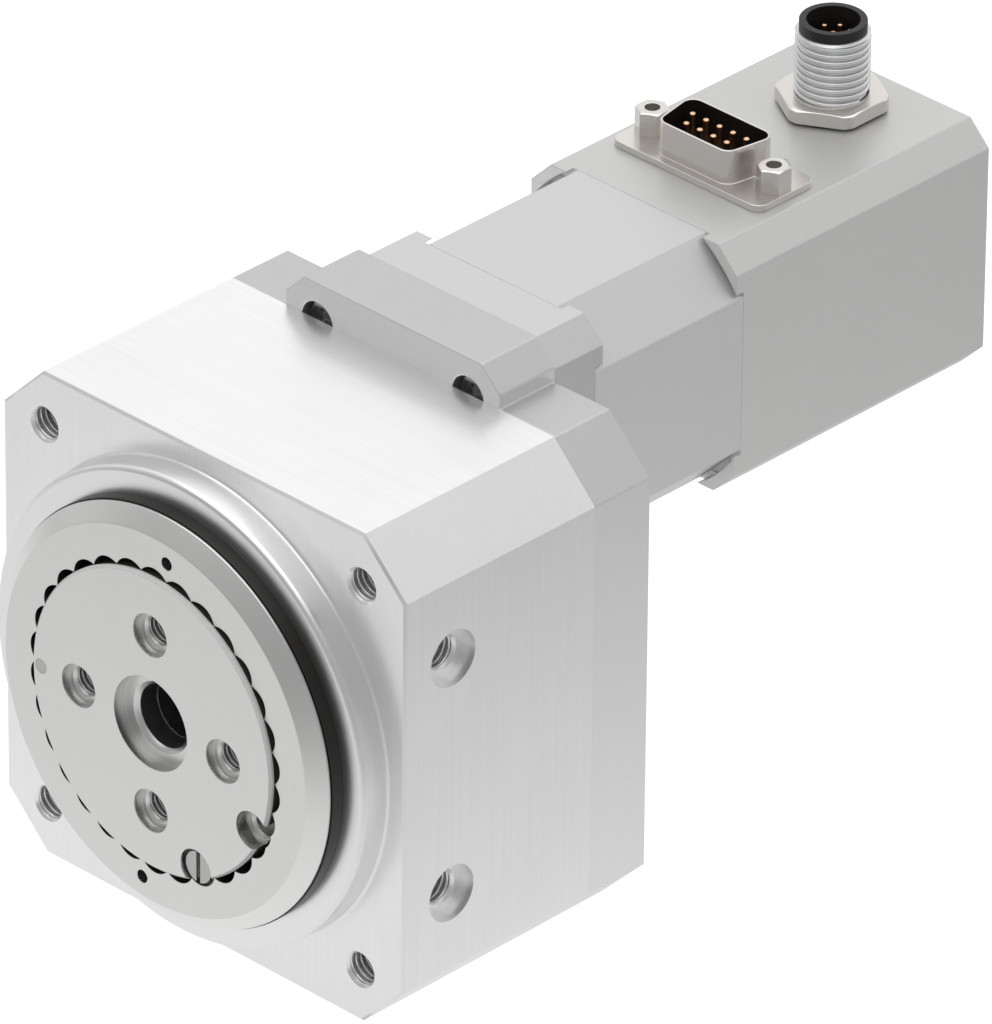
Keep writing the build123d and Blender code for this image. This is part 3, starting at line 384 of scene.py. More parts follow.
# The plating inside the shell, in a near-black tone matched to the photo's light
SHELL_INSIDE = Metal("shaded_nickel_plate", "2A2320", 0.3, 0.4, Lay.NONE, 0.2, 0.02, 0.008)
THREAD_NICKEL = Metal("nickel_plated_thread", "EEEFEF", 0.75, 0.3, Lay.NONE, 0.2, 0.02, 0.008)
GOLD = Metal("gold_plated_contact", "F0C4A0", 1.0, 0.25, Lay.NONE, 0.2, 0.02, 0.02)
# Black parts: nitrile seal, glass-filled insulators and the reading head
SEAL_BLACK = Moulded("black_nitrile_seal", "1C1916", 0.36, 0.2, 0.1)
PLASTIC_BLACK = Moulded("black_glass_filled_plastic", "1B1A1A", 0.5, 0.12, 0.12)
BOARD_GREEN = Moulded("green_solder_mask", "1C5A34", 0.3, 0.4, 0.05, coat=0.4)
CODE_DISC = Moulded("printed_code_disc", "303034", 0.2, 0.3, 0.02, coat=0.6)


@dataclass(frozen=True)
class Dress:
    """What a piece wears: its surface, the body that it rides on and the record's material slot."""

    finish: Finish
    slot: str
    body: Body = Body.HOUSING


BLOCK = Dress(MILLED_BLOCK, "front_block")
COVER = Dress(COVER_GRAY, "gray_casting")
SEAL = Dress(SEAL_BLACK, "seal_rubber")
SCREW = Dress(SCREW_STEEL, "screw_steel")
BELL = Dress(BELL_GRAY, "motor_casting")
STATOR = Dress(STATOR_GRAY, "stator_steel")
CAP = Dress(CAP_GRAY, "cap_casting")
PLATED = Dress(NICKEL, "connector_nickel")
PLATED_THREAD = Dress(THREAD_NICKEL, "connector_nickel")
INSULATOR = Dress(PLASTIC_BLACK, "insulator_black")
CONTACT = Dress(GOLD, "pin_gold")
DISC = Dress(DISC_STEEL, "index_steel", Body.OUTPUT)
FLANGE = Dress(FLANGE_STEEL, "flange_steel", Body.OUTPUT)
PIN = Dress(PIN_STEEL, "pin_steel", Body.OUTPUT)

SIDES = [f"{end}_{part}" for end in ("front", "rear") for part in ("hub", "motor")]
INNER_FINISHES = {
    BEARING_STEEL: [
        f"{side}_{piece}" for side in SIDES for piece in ("bearing_outer", "bearing_inner", "balls")
    ],
    BRASS: [f"{side}_cage" for side in SIDES] + ["encoder_standoffs", "encoder_hub"],
    PIN_STEEL: ["alignment_dowels"],
    COPPER: ["stator_coils"],
    BELL_GRAY: ["rear_bearing_plate"],
    SCREW_STEEL: ["motor_tie_screws", "disc_screws", "gear_screws"],
    SHAFT_STEEL: ["preload_washer", "motor_shaft"],
    BOARD_GREEN: ["encoder_board"],
    PLASTIC_BLACK: ["encoder_reader"],
    CODE_DISC: ["encoder_disc"],
    GEAR_STEEL: ["output_gear", "pinion"],
    LAMINATION: ["rotor_front_stack", "rotor_rear_stack"],
    MAGNET: ["rotor_magnet"],
}


def new_object(name: str, data: bpy.types.ID) -> Piece:
    """Links an object for a mesh, camera or lamp into the scene and returns it."""
    piece = bpy.data.objects.new(name, data)
    bpy.context.scene.collection.objects.link(piece)
    return piece


@contextmanager
def editing(mesh: bpy.types.Mesh) -> Iterator[bmesh.types.BMesh]:
    """Opens a mesh for edits and writes them back."""
    shape = bmesh.new()
    shape.from_mesh(mesh)
    yield shape
    shape.to_mesh(mesh)
    shape.free()


def settle(piece: Piece) -> Piece:
    """Turns a piece with live modifiers into a plain mesh.

    Args:
        piece: The object with its modifiers.

    Returns:
        The same object, with the evaluated mesh and no modifiers.
    """
    graph = bpy.context.evaluated_depsgraph_get()
    result = bpy.data.meshes.new_from_object(piece.evaluated_get(graph), preserve_all_data_layers=True,
                                             depsgraph=graph)
    piece.modifiers.clear()
    old = piece.data
    piece.data = result
    bpy.data.meshes.remove(old)
    return piece


def finish_piece(piece: Piece, dress: Dress, replaced: Sequence[str] = ()) -> Piece:
    """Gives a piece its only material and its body.

    Args:
        piece: The finished mesh object.
        dress: Its surface, body and slot.
        replaced: CAD nodes that it stands for.

    Returns:
        The piece.
    """
    piece.data.materials.clear()
    piece.data.materials.append(dress.finish.material())
    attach(piece, dress.body.value)
    if replaced:
        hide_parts(*replaced)
    log.info("%s: %d faces", piece.name, len(piece.data.polygons))
    return piece


def merged_copy(node: str, name: str) -> Piece:
    """Copies a CAD node's mesh with its triangles joined and its flat faces made whole.

    Args:
        node: The CAD node.
        name: The new piece's name.

    Returns:
        The new object.
    """
    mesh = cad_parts[node].data.copy()
    with editing(mesh) as shape:
        bmesh.ops.remove_doubles(shape, verts=shape.verts, dist=MERGE_MM * MM)
        bmesh.ops.dissolve_limit(
            shape,
            angle_limit=math.radians(FLAT_DEG),
            verts=shape.verts,
            edges=shape.edges,
            use_dissolve_boundaries=False,
        )
    mesh.materials.clear()
    return new_object(name, mesh)


def soften(
    piece: Piece, width_mm: float, corner_deg: float = 32, steps: int = 2
) -> Piece:
    """Rounds a piece's sharp edges and smooths its curved faces.

    Args:
        piece: The object.
        width_mm: Width of the edge round, or 0 for none.
        corner_deg: Edges that turn more than this are sharp.
        steps: Faces across each round.

    Returns:
        The piece as a plain mesh.
    """
    limit = math.radians(corner_deg)
    if width_mm:
        edge = piece.modifiers.new("edge", "BEVEL")
        edge.width = width_mm * MM
        edge.segments = steps
        edge.limit_method = "ANGLE"
        edge.angle_limit = limit
        edge.use_clamp_overlap = True
        edge.miter_outer = "MITER_ARC"
        settle(piece)
    with editing(piece.data) as shape:
        for edge in shape.edges:
            edge.smooth = edge.calc_face_angle(math.pi) < limit
        for face in shape.faces:
            face.smooth = True
    weigh = piece.modifiers.new("weigh", "WEIGHTED_NORMAL")
    weigh.keep_sharp = True
    weigh.weight = 100
    return settle(piece)


def refined(node: str, dress: Dress, width_mm: float, steps: int = 2) -> Piece:
    """Replaces a CAD node by its own shape with rounded edges and smooth curves.

    Args:
        node: The CAD node.
        dress: Its surface, body and slot.
        width_mm: Width of the edge round.
        steps: Faces across each round.

    Returns:
        The new piece.
    """
    piece = merged_copy(node, f"{node}_dressed")
    soften(piece, width_mm, steps=steps)
    return finish_piece(piece, dress, [node])


def lathe(name: str, profile: Sequence[tuple[float, float]], axis: Matrix, segments: int = 192) -> Piece:
    """Turns a closed outline about an axis.

    Args:
        name: The piece's name.
        profile: Corner points as (radius, height) in millimetres, in order round the outline.
        axis: Matrix that puts the local +Z axis on the real one, in metres.
        segments: Steps round the circle.

    Returns:
        The new object, with flat normals.
    """
    mesh = bpy.data.meshes.new(name)
    rings = []
    with editing(mesh) as shape:
        for radius, height in profile:
            ring = []
            for i in range(segments):
                turn = 2 * math.pi * i / segments
                spot = Vector((radius * math.cos(turn), radius * math.sin(turn), height)) * MM
                ring.append(shape.verts.new(axis @ spot))
            rings.append(ring)
        for low, high in zip(rings, rings[1:] + rings[:1]):
            for i in range(segments):
                j = (i + 1) % segments
                shape.faces.new((low[i], low[j], high[j], high[i]))
        bmesh.ops.remove_doubles(shape, verts=shape.verts, dist=LATHE_MERGE_MM * MM)
        bmesh.ops.recalc_face_normals(shape, faces=shape.faces)
    return new_object(name, mesh)


def combine(piece: Piece, tool: Piece, operation: str = "DIFFERENCE") -> Piece:
    """Cuts, joins or intersects a piece with a tool shape, which is then removed.

    Args:
        piece: The object to change.
        tool: The cutter.
        operation: DIFFERENCE, UNION or INTERSECT.

    Returns:
        The piece as a plain mesh.
    """
    step = piece.modifiers.new("combine", "BOOLEAN")
    step.operation = operation
    step.solver = "EXACT"
    step.object = tool
    settle(piece)
    bpy.data.objects.remove(tool)
    return piece


def join(name: str, pieces: Sequence[Piece]) -> Piece:
    """Puts several shapes into one object.

    Args:
        name: The new object's name.
        pieces: The objects, which are removed.

    Returns:
        The new object.
    """
    mesh = bpy.data.meshes.new(name)
    with editing(mesh) as shape:
        for piece in pieces:
            shape.from_mesh(piece.data)
    for piece in pieces:
        bpy.data.objects.remove(piece)
    return new_object(name, mesh)


def paint(piece: Piece, finish: Finish, pick: Callable[[Vector, Vector], bool]) -> None:
    """Gives some faces of a piece a second surface.

    Args:
        piece: The finished piece.
        finish: The surface.
        pick: Rule that takes a face's centre in millimetres and its normal.
    """
    piece.data.materials.append(finish.material())
    last = len(piece.data.materials) - 1
    for face in piece.data.polygons:
        if pick(face.center / MM, face.normal):
            face.material_index = last


def score(piece: Piece, height_mm: float) -> None:
    """Cuts a ring of edges into a piece at a height along Y, so that paint can end there.

    Args:
        piece: The piece before its edges are rounded.
        height_mm: Place of the ring on the Y axis.
    """
    with editing(piece.data) as shape:
        parts = shape.verts[:] + shape.edges[:] + shape.faces[:]
        bmesh.ops.bisect_plane(shape, geom=parts, plane_co=(0, height_mm * MM, 0), plane_no=(0, 1, 0))


def facing(place_mm: Point, direction: Point) -> Matrix:
    """Matrix that moves the local origin to a place and points local +Z along a direction."""
    turn = Vector(direction).to_track_quat("Z", "Y").to_matrix().to_4x4()
    return Matrix.Translation(Vector(place_mm) * MM) @ turn


@dataclass(frozen=True)
class ThreadForm:
    """Screw thread: one helical ridge, copied by Geometry Nodes to each threaded place.

    The ridge stands on the root radius and reaches the crest radius, inwards in a hole and outwards on a
    stud. Local +Z runs down the thread.
    """

    pitch_mm: float
    root_radius_mm: float
    crest_radius_mm: float
    length_mm: float
    steps_per_turn: int = 40
    root_share: float = 0.46
    crest_share: float = 0.07

    def tree(self, name: str, finish: Finish) -> Tree:
        """Builds the node tree that makes the ridge and copies it.

        Args:
            name: The tree's name.
            finish: The ridge's surface.

        Returns:
            The geometry node tree.
        """
        tree = bpy.data.node_groups.new(name, "GeometryNodeTree")
        face = tree.interface
        face.new_socket("Geometry", in_out="INPUT", socket_type="NodeSocketGeometry")
        for label in ("Pitch", "Root Radius", "Crest Radius", "Length"):
            face.new_socket(label, in_out="INPUT", socket_type="NodeSocketFloat")
        face.new_socket("Turn", in_out="INPUT", socket_type="NodeSocketRotation")
        face.new_socket("Geometry", in_out="OUTPUT", socket_type="NodeSocketGeometry")
        given = add(tree, "NodeGroupInput").outputs
        turns = add(tree, "ShaderNodeMath", {0: given["Length"], 1: given["Pitch"]}, operation="DIVIDE")
        helix = add(
            tree,
            "GeometryNodeCurveSpiral",
            {
                "Resolution": self.steps_per_turn,
                "Rotations": turns.outputs[0],
                "Start Radius": given["Root Radius"],
                "End Radius": given["Root Radius"],
                "Height": given["Length"],
            },
        )
        upright = add(tree, "GeometryNodeSetCurveNormal", {0: helix.outputs["Curve"]}, mode="Z_UP")
        radii = {0: given["Root Radius"], 1: given["Crest Radius"]}
        depth = add(tree, "ShaderNodeMath", radii, operation="SUBTRACT")
        profile = self._profile(tree, given["Pitch"], depth.outputs[0])
        ridge = add(
            tree,
            "GeometryNodeCurveToMesh",
            {"Curve": upright.outputs[0], "Profile Curve": profile, "Fill Caps": True},
        )
        copies = add(
            tree,
            "GeometryNodeInstanceOnPoints",
            {
                "Points": given["Geometry"],
                "Instance": ridge.outputs["Mesh"],
                "Rotation": given["Turn"],
            },
        )
        real = add(tree, "GeometryNodeRealizeInstances", {"Geometry": copies.outputs["Instances"]})
        dressed = add(
            tree,
            "GeometryNodeSetMaterial",
            {"Geometry": real.outputs["Geometry"], "Material": finish.material()},
        )
        add(tree, "NodeGroupOutput", {"Geometry": dressed.outputs["Geometry"]})
        return tree

    def _profile(self, tree: Tree, pitch: Socket, depth: Socket) -> Socket:
        """Builds the ridge's section: wide at the root, narrow at the crest.

        Args:
            tree: The geometry tree.
            pitch: Socket with the thread's pitch.
            depth: Socket with the crest's distance from the root, counted towards the axis.

        Returns:
            The socket of the closed section curve.
        """
        half_root, half_crest = (
            add(tree, "ShaderNodeMath", {0: pitch, 1: share}, operation="MULTIPLY")
            for share in (self.root_share, self.crest_share)
        )
        corners = []
        outline = ((0.0, -1, half_root), (1.0, -1, half_crest), (1.0, 1, half_crest), (0.0, 1, half_root))
        for height, side, half in outline:
            out = add(tree, "ShaderNodeMath", {0: depth, 1: height}, operation="MULTIPLY")
            along = add(tree, "ShaderNodeMath", {0: half.outputs[0], 1: float(side)}, operation="MULTIPLY")
            corner = add(tree, "ShaderNodeCombineXYZ", {"X": out.outputs[0], "Y": along.outputs[0]})
            corners.append(corner.outputs["Vector"])
        section = add(tree, "GeometryNodeCurvePrimitiveQuadrilateral", mode="POINTS")
        for i, corner in enumerate(corners):
            tree.links.new(corner, section.inputs[f"Point {i + 1}"])
        return section.outputs["Curve"]

    def ridges(self, name: str, places_mm: Iterable[Point], turn: Point, dress: Dress) -> Piece:
        """Makes the threads at all the given places.

        Args:
            name: The piece's name.
            places_mm: Where each thread starts.
            turn: Euler angles that point local +Z down the thread.
            dress: The surface, body and slot.

        Returns:
            The finished piece.
        """
        mesh = bpy.data.meshes.new(name)
        mesh.from_pydata([tuple(Vector(p) * MM) for p in places_mm], [], [])
        piece = new_object(name, mesh)
        tree = self.tree(f"{name}_tree", dress.finish)
        step = piece.modifiers.new("thread", "NODES")
        step.node_group = tree
        values = {
            "Pitch": self.pitch_mm * MM,
            "Root Radius": self.root_radius_mm * MM,
            "Crest Radius": self.crest_radius_mm * MM,
            "Length": self.length_mm * MM,
            "Turn": turn,
        }
        for item in tree.interface.items_tree:
            if item.in_out == "INPUT" and item.name in values:
                step[item.identifier] = values[item.name]
        settle(piece)
        with editing(piece.data) as shape:
            bmesh.ops.recalc_face_normals(shape, faces=shape.faces)
        return finish_piece(piece, dress)


INTO_BACK = (-math.pi / 2, 0.0, 0.0)
INTO_LEFT = (0.0, -math.pi / 2, 0.0)
INTO_RIGHT = (0.0, math.pi / 2, 0.0)
UPWARDS = (0.0, 0.0, 0.0)


@dataclass
class ThreadedHoles:
    """Threads in a row of blind or through holes that open in one direction."""

    name: str
    places_mm: Sequence[Point]
    inward: Point
    turn: Point
    form: ThreadForm
    mouth_mm: float = 0.02
    lead_in_mm: float = 0.5
    core_overlap_mm: float = 0.05

    def open_up(self, piece: Piece) -> None:
        """Widens each hole of a piece to the thread's root, so that the ridge stands in a real groove.

        Args:
            piece: The piece with the holes.
        """
        root = self.form.root_radius_mm
        core = self.form.crest_radius_mm - self.core_overlap_mm
        length = self.form.length_mm
        end = length + self.lead_in_mm
        profile = [
            (0, -self.mouth_mm),
            (core, -self.mouth_mm),
            (root, self.lead_in_mm),
            (root, length),
            (core, end),
            (0, end),
        ]
        tools = [
            lathe(f"{self.name}_tool_{i}", profile, facing(place, self.inward), HOLE_SEGMENTS)
            for i, place in enumerate(self.places_mm)
        ]
        combine(piece, join(f"{self.name}_tools", tools))

    def make(self, dress: Dress) -> Piece:
        """Makes the ridges themselves and returns the piece."""
        return self.form.ridges(self.name, self.places_mm, self.turn, dress)


@dataclass(frozen=True)
class ConeTop:
    """Cone that cuts the outer corners of a nut's or a disc's face, as turning leaves them."""

    ring_radius_mm: float
    fall: float
    reach_mm: float
    direction: Point = (0, 0, 1)

    def round_off(self, piece: Piece, places_mm: Sequence[Point], foot_mm: float) -> None:
        """Keeps of a piece what lies under a cone at each place.

        Args:
            piece: The piece with the faces.
            places_mm: Centres of those faces.
            foot_mm: Height that the kept shape reaches down to, from the faces.
        """
        low = -(self.reach_mm - self.ring_radius_mm) * self.fall
        outline = [
            (0, 0),
            (self.ring_radius_mm, 0),
            (self.reach_mm, low),
            (self.reach_mm, foot_mm),
            (0, foot_mm),
        ]
        cones = [
            lathe(f"cone_{i}", outline, facing(place, self.direction), CONE_SEGMENTS)
            for i, place in enumerate(places_mm)
        ]
        combine(piece, join("cones", cones), "INTERSECT")


@dataclass
class Housing:
    """Machined front block and the gray rear cover with the motor seat."""

    bolt_offset_mm: float = 32.704
    side_spacing_mm: float = 40.0
    side_setback_mm: float = 10.0
    side_floor_mm: float = 39.2
    collar_radius_mm: float = 38.20
    collar_bore_mm: float = 31.60
    collar_height_mm: float = 5.0
    collar_round_mm: float = 0.9
    collar_root_mm: float = 0.5
    collar_foot_mm: float = 39.3
    collar_seat_mm: float = 0.3
    collar_relief_mm: float = 0.5
    thread_sink_mm: float = 0.5
    bolt_thread: ThreadForm = ThreadForm(1.0, 2.98, 2.52, 8.6)

    def build(self) -> None:
        """Builds and dresses the housing."""
        block = merged_copy("front_housing", "front_housing_dressed")
        threads = self._threads()
        for group in threads:
            group.open_up(block)
        self._collar(block)
        soften(block, 0.16)
        finish_piece(block, BLOCK, ["front_housing"])
        for group in threads:
            group.make(BLOCK)
        refined("rear_cover", COVER, 0.35, steps=3)
        refined("rim_seal", SEAL, 0.1)
        for node in ("motor_mount_screws", "cover_screws"):
            refined(node, SCREW, 0.18)

    def _collar(self, block: Piece) -> None:
        """Cuts the collar off the block and sets a finely turned one in its place.

        Args:
            block: The block, still with its own collar.
        """
        axis = facing((0, 0, 0), (0, 1, 0))
        clear = self.collar_height_mm + 1.0
        inner = self.collar_bore_mm - self.collar_relief_mm
        groove = [
            (inner, -clear),
            (self.collar_foot_mm, -clear),
            (self.collar_foot_mm, self.collar_seat_mm),
            (inner, self.collar_seat_mm),
        ]
        combine(block, lathe("collar_tool", groove, axis, FINE_SEGMENTS))
        crest = self.collar_radius_mm - self.collar_round_mm
        front = -self.collar_height_mm + self.collar_round_mm
        edge = [
            (crest + self.collar_round_mm * math.sin(t), front - self.collar_round_mm * math.cos(t))
            for t in (math.radians(7.5 * i) for i in range(13))
        ]
        root_centre = self.collar_radius_mm + self.collar_root_mm
        root = [
            (root_centre - self.collar_root_mm * math.cos(t), self.collar_root_mm * (math.sin(t) - 1))
            for t in (math.radians(15 * i) for i in range(7))
        ]
        outline = [(self.collar_bore_mm, -self.collar_height_mm), *edge, *root]
        outline += [(self.collar_foot_mm, 0), (self.collar_foot_mm, self.collar_seat_mm)]
        outline += [(self.collar_bore_mm, self.collar_seat_mm)]
        collar = lathe("front_collar", outline, axis, FINE_SEGMENTS)
        soften(collar, 0.0)
        finish_piece(collar, BLOCK)
        paint(collar, COLLAR_FACE, self._on_collar_face)

    def _on_collar_face(self, centre: Vector, normal: Vector) -> bool:
        """Tells whether a face of the collar looks forward, towards the rotating rim."""
        return normal.y < -0.9 and centre.y < 0.1 - self.collar_height_mm

    def _threads(self) -> list[ThreadedHoles]:
        """Lists the threaded holes of the front and of both sides."""
        front = [
            (x * self.bolt_offset_mm, self.thread_sink_mm, z * self.bolt_offset_mm)
            for x in (-1, 1)
            for z in (-1, 1)
        ]
        floor = self.side_floor_mm - self.thread_sink_mm
        right, left = (
            [(side * floor, self.side_setback_mm, z * self.side_spacing_mm / 2) for z in (-1, 1)]
            for side in (1, -1)
        )
        return [
            ThreadedHoles("front_bolt_threads", front, (0, 1, 0), INTO_BACK, self.bolt_thread),
            ThreadedHoles("right_bolt_threads", right, (-1, 0, 0), INTO_LEFT, self.bolt_thread),
            ThreadedHoles("left_bolt_threads", left, (1, 0, 0), INTO_RIGHT, self.bolt_thread),
        ]


@dataclass
class OutputFlange:
    """Turning flange with its index disc, lock pin and the threads for the driven part."""

    chamfer_inner_mm: float = 30.0
    ring_front_mm: float = -9.85
    disc_radius_mm: float = 24.75
    disc_front_mm: float = -10.65
    disc_edge_mm: float = 0.35
    bolt_circle_mm: float = 30.0
    recess_floor_mm: float = -9.15
    recess_sink_mm: float = 0.45
    disc_depth_mm: float = 12.0
    rim_band_mm: float = 0.4
    disc_thread: ThreadForm = ThreadForm(0.8, 2.5, 2.12, 4.2)

    def build(self) -> None:
        """Builds and dresses the flange."""
        disc = merged_copy("index_disc", "index_disc_dressed")
        threads = self._threads()
        for group in threads:
            group.open_up(disc)
        edge = ConeTop(self.disc_radius_mm - self.disc_edge_mm, 1.0, self.disc_radius_mm + 1, (0, -1, 0))
        edge.round_off(disc, [(0, self.disc_front_mm, 0)], -self.disc_depth_mm)
        score(disc, self.ring_front_mm)
        soften(disc, 0.06)
        finish_piece(disc, DISC, ["index_disc"])
        # Painted highlight on the disc's wall above the ring's face, painted shade on the same wall down in
        # the pockets
        paint(disc, DISC_RIM, self._on_rim)
        paint(disc, POCKET_STEEL, self._in_pocket)
        for group in threads:
            group.make(DISC)
        flange = refined("rotary_flange", FLANGE, 0.08)
        # Painted highlight on the flange's outer chamfer
        paint(flange, FLANGE_BEVEL, self._on_chamfer)
        refined("lock_pin", PIN, 0.14)
        refined("mark_pin", PIN, 0.06)

    def _on_chamfer(self, centre: Vector, normal: Vector) -> bool:
        """Tells whether a face of the flange belongs to its outer chamfer."""
        return math.hypot(centre.x, centre.z) > self.chamfer_inner_mm and -0.9 < normal.y < -0.3

    def _on_rim(self, centre: Vector, normal: Vector) -> bool:
        """Tells whether a face of the disc belongs to its round outer wall."""
        radius = math.hypot(centre.x, centre.z)
        outward = (centre.x * normal.x + centre.z * normal.z) / max(radius, MM)
        return radius > self.disc_radius_mm - self.rim_band_mm and outward > 0.5

    def _in_pocket(self, centre: Vector, normal: Vector) -> bool:
        """Tells whether a face of the disc lies behind the ring's face, down in the index pockets."""
        return centre.y > self.ring_front_mm and self._on_rim(centre, normal)

    def _threads(self) -> list[ThreadedHoles]:
        """Lists the four threads on the bolt circle."""
        radius = self.bolt_circle_mm / 2
        depth = self.recess_floor_mm + self.recess_sink_mm
        turns = [math.radians(90 * i) for i in range(4)]
        places = [(radius * math.cos(turn), depth, radius * math.sin(turn)) for turn in turns]
        return [ThreadedHoles("disc_threads", places, (0, 1, 0), INTO_BACK, self.disc_thread)]


@dataclass
class Motor:
    """Square stepping motor: front bell, laminated stator and the long end cap."""

    def build(self) -> None:
        """Builds and dresses the motor."""
        refined("motor_front_bell", BELL, 0.3)
        refined("stator_core", STATOR, 0.5, steps=3)
        refined("end_cap", CAP, 0.3)
        refined("end_cap_screws", SCREW, 0.18)


@dataclass
class SignalConnector:
    """Nine-pin D-shaped connector with its two hexagonal screwlocks."""

    centre_mm: Point = (0.0, 107.7, 46.75)
    lock_spacing_mm: float = 24.99
    lock_top_mm: float = 5.0
    lock_foot_mm: float = 6.0
    lock_cone: ConeTop = ConeTop(2.0, 0.3, 3.4)
    wall_reach_mm: float = 1.0

    def build(self) -> None:
        """Builds and dresses the connector."""
        shell = refined("signal_connector_shell", PLATED, 0.13, steps=3)
        paint(shell, SHELL_INSIDE, self._inside)
        refined("signal_connector_insulator", INSULATOR, 0.1)
        refined("signal_connector_pins", CONTACT, 0.25, steps=3)
        locks = merged_copy("signal_connector_screwlocks", "signal_connector_screwlocks_dressed")
        x, y, z = self.centre_mm
        places = [(x + side * self.lock_spacing_mm / 2, y, z + self.lock_top_mm) for side in (-1, 1)]
        self.lock_cone.round_off(locks, places, -self.lock_top_mm - self.lock_foot_mm)
        soften(locks, 0.08)
        finish_piece(locks, PLATED, ["signal_connector_screwlocks"])

    def _inside(self, centre: Vector, normal: Vector) -> bool:
        """Tells whether a face of the shell belongs to the wall that faces its pins."""
        inward = (centre.x - self.centre_mm[0]) * normal.x + (centre.y - self.centre_mm[1]) * normal.y
        return inward < -self.wall_reach_mm and abs(normal.z) < 0.5


@dataclass
class PowerConnector:
    """Round threaded connector with eight pins, its nut and gasket."""

    centre_mm: Point = (0.0, 133.8, 46.75)
    thread: ThreadForm = ThreadForm(1.18, 5.36, 5.78, 9.8, 96)
    core_radius_mm: float = 5.4
    bore_radius_mm: float = 4.62
    insert_top_mm: float = 12.85
    rim_radius_mm: float = 5.21
    lip_radius_mm: float = 5.76
    lip_bottom_mm: float = 12.75
    lip_top_mm: float = 13.2
    lip_rise_mm: float = 0.1
    lip_slant_mm: float = 0.3
    nut_top_mm: float = 2.75
    nut_foot_mm: float = 4.0
    nut_cone: ConeTop = ConeTop(7.7, 0.28, 9.6)
    flange_radius_mm: float = 7.2
    wall_mm: float = 2.2
    flange_thickness_mm: float = 1.6

    def build(self) -> None:
        """Builds and dresses the connector."""
        up = Matrix.Translation(Vector(self.centre_mm) * MM)
        foot = -self.wall_mm - self.flange_thickness_mm
        core = lathe(
            "power_connector_body_dressed",
            [
                (self.bore_radius_mm, foot),
                (self.flange_radius_mm, foot),
                (self.flange_radius_mm, -self.wall_mm),
                (self.core_radius_mm, -self.wall_mm),
                (self.core_radius_mm, self.lip_bottom_mm),
                (self.lip_radius_mm, self.lip_bottom_mm + self.lip_rise_mm),
                (self.lip_radius_mm - self.lip_slant_mm, self.lip_top_mm),
                (self.rim_radius_mm, self.lip_top_mm),
                (self.rim_radius_mm, self.insert_top_mm),
                (self.bore_radius_mm, self.insert_top_mm),
            ],
            up,
        )
        soften(core, 0.0)
        finish_piece(core, PLATED_THREAD, ["power_connector_body"])
        x, y, z = self.centre_mm
        start = (x, y, z + self.nut_top_mm)
        self.thread.ridges("power_connector_thread", [start], UPWARDS, PLATED_THREAD)
        refined("power_connector_insert", INSULATOR, 0.15)
        refined("power_connector_pins", CONTACT, 0.25, steps=3)
        nut = merged_copy("power_connector_nut", "power_connector_nut_dressed")
        self.nut_cone.round_off(nut, [start], -self.nut_foot_mm)
        soften(nut, 0.12)
        finish_piece(nut, PLATED, ["power_connector_nut"])
        refined("power_connector_gasket", SEAL, 0.1)


@dataclass
class View:
    """Camera at the photograph's place, solved from points with known sizes."""

    azimuth_deg: float = 43.908
    elevation_deg: float = 30.557
    roll_deg: float = 0.542
    distance_mm: float = 2099.5
    focal_px: float = 14025.3
    picture_height_px: float = 1024.0
    aim_mm: Point = (0.0, 80.0, 10.0)
    shift_right_mm: float = -12.77
    shift_up_mm: float = -10.33

    def build(self) -> None:
        """Adds the camera and makes it the scene's own."""
        angles = (self.azimuth_deg, self.elevation_deg, self.roll_deg)
        azimuth, elevation, roll = map(math.radians, angles)
        flat = math.cos(elevation)
        back = Vector((math.sin(azimuth) * flat, -math.cos(azimuth) * flat, math.sin(elevation)))
        level = Vector((math.cos(azimuth), math.sin(azimuth), 0.0))
        upright = back.cross(level)
        right = math.cos(roll) * level + math.sin(roll) * upright
        up = math.cos(roll) * upright - math.sin(roll) * level
        target = Vector(self.aim_mm) + self.shift_right_mm * right + self.shift_up_mm * up
        eye = (target + self.distance_mm * back) * MM
        data = bpy.data.cameras.new("view")
        data.sensor_fit = "VERTICAL"
        data.sensor_height = 36.0
        data.lens = self.focal_px / self.picture_height_px * data.sensor_height
        data.clip_start = 0.1
        data.clip_end = 20.0
        camera = new_object("view", data)
        turn = Matrix((right, up, back)).transposed().to_4x4()
        camera.matrix_world = Matrix.Translation(eye) @ turn
        bpy.context.scene.camera = camera


@dataclass(frozen=True)
class Slope:
    """Brightness that changes evenly with the direction or the place."""

    level: float
    change: Point
    lowest: float
    highest: float

    def strength(self, tree: Tree, where: Socket, extra: Any = 0.0) -> Socket:
        """Builds the brightness.

        Args:
            tree: The shader tree.
            where: Output socket of the direction or place.
            extra: A further amount, as a number or an output socket.

        Returns:
            The output socket of the strength.
        """
        along = add(tree, "ShaderNodeVectorMath", {0: where, 1: self.change}, operation="DOT_PRODUCT")
        total = add(tree, "ShaderNodeMath", {0: along.outputs["Value"], 1: self.level}, operation="ADD")
        total = add(tree, "ShaderNodeMath", {0: total.outputs[0], 1: extra}, operation="ADD")
        kept = add(
            tree, "ShaderNodeClamp", {"Value": total.outputs[0], "Min": self.lowest, "Max": self.highest}
        )
        return kept.outputs["Result"]


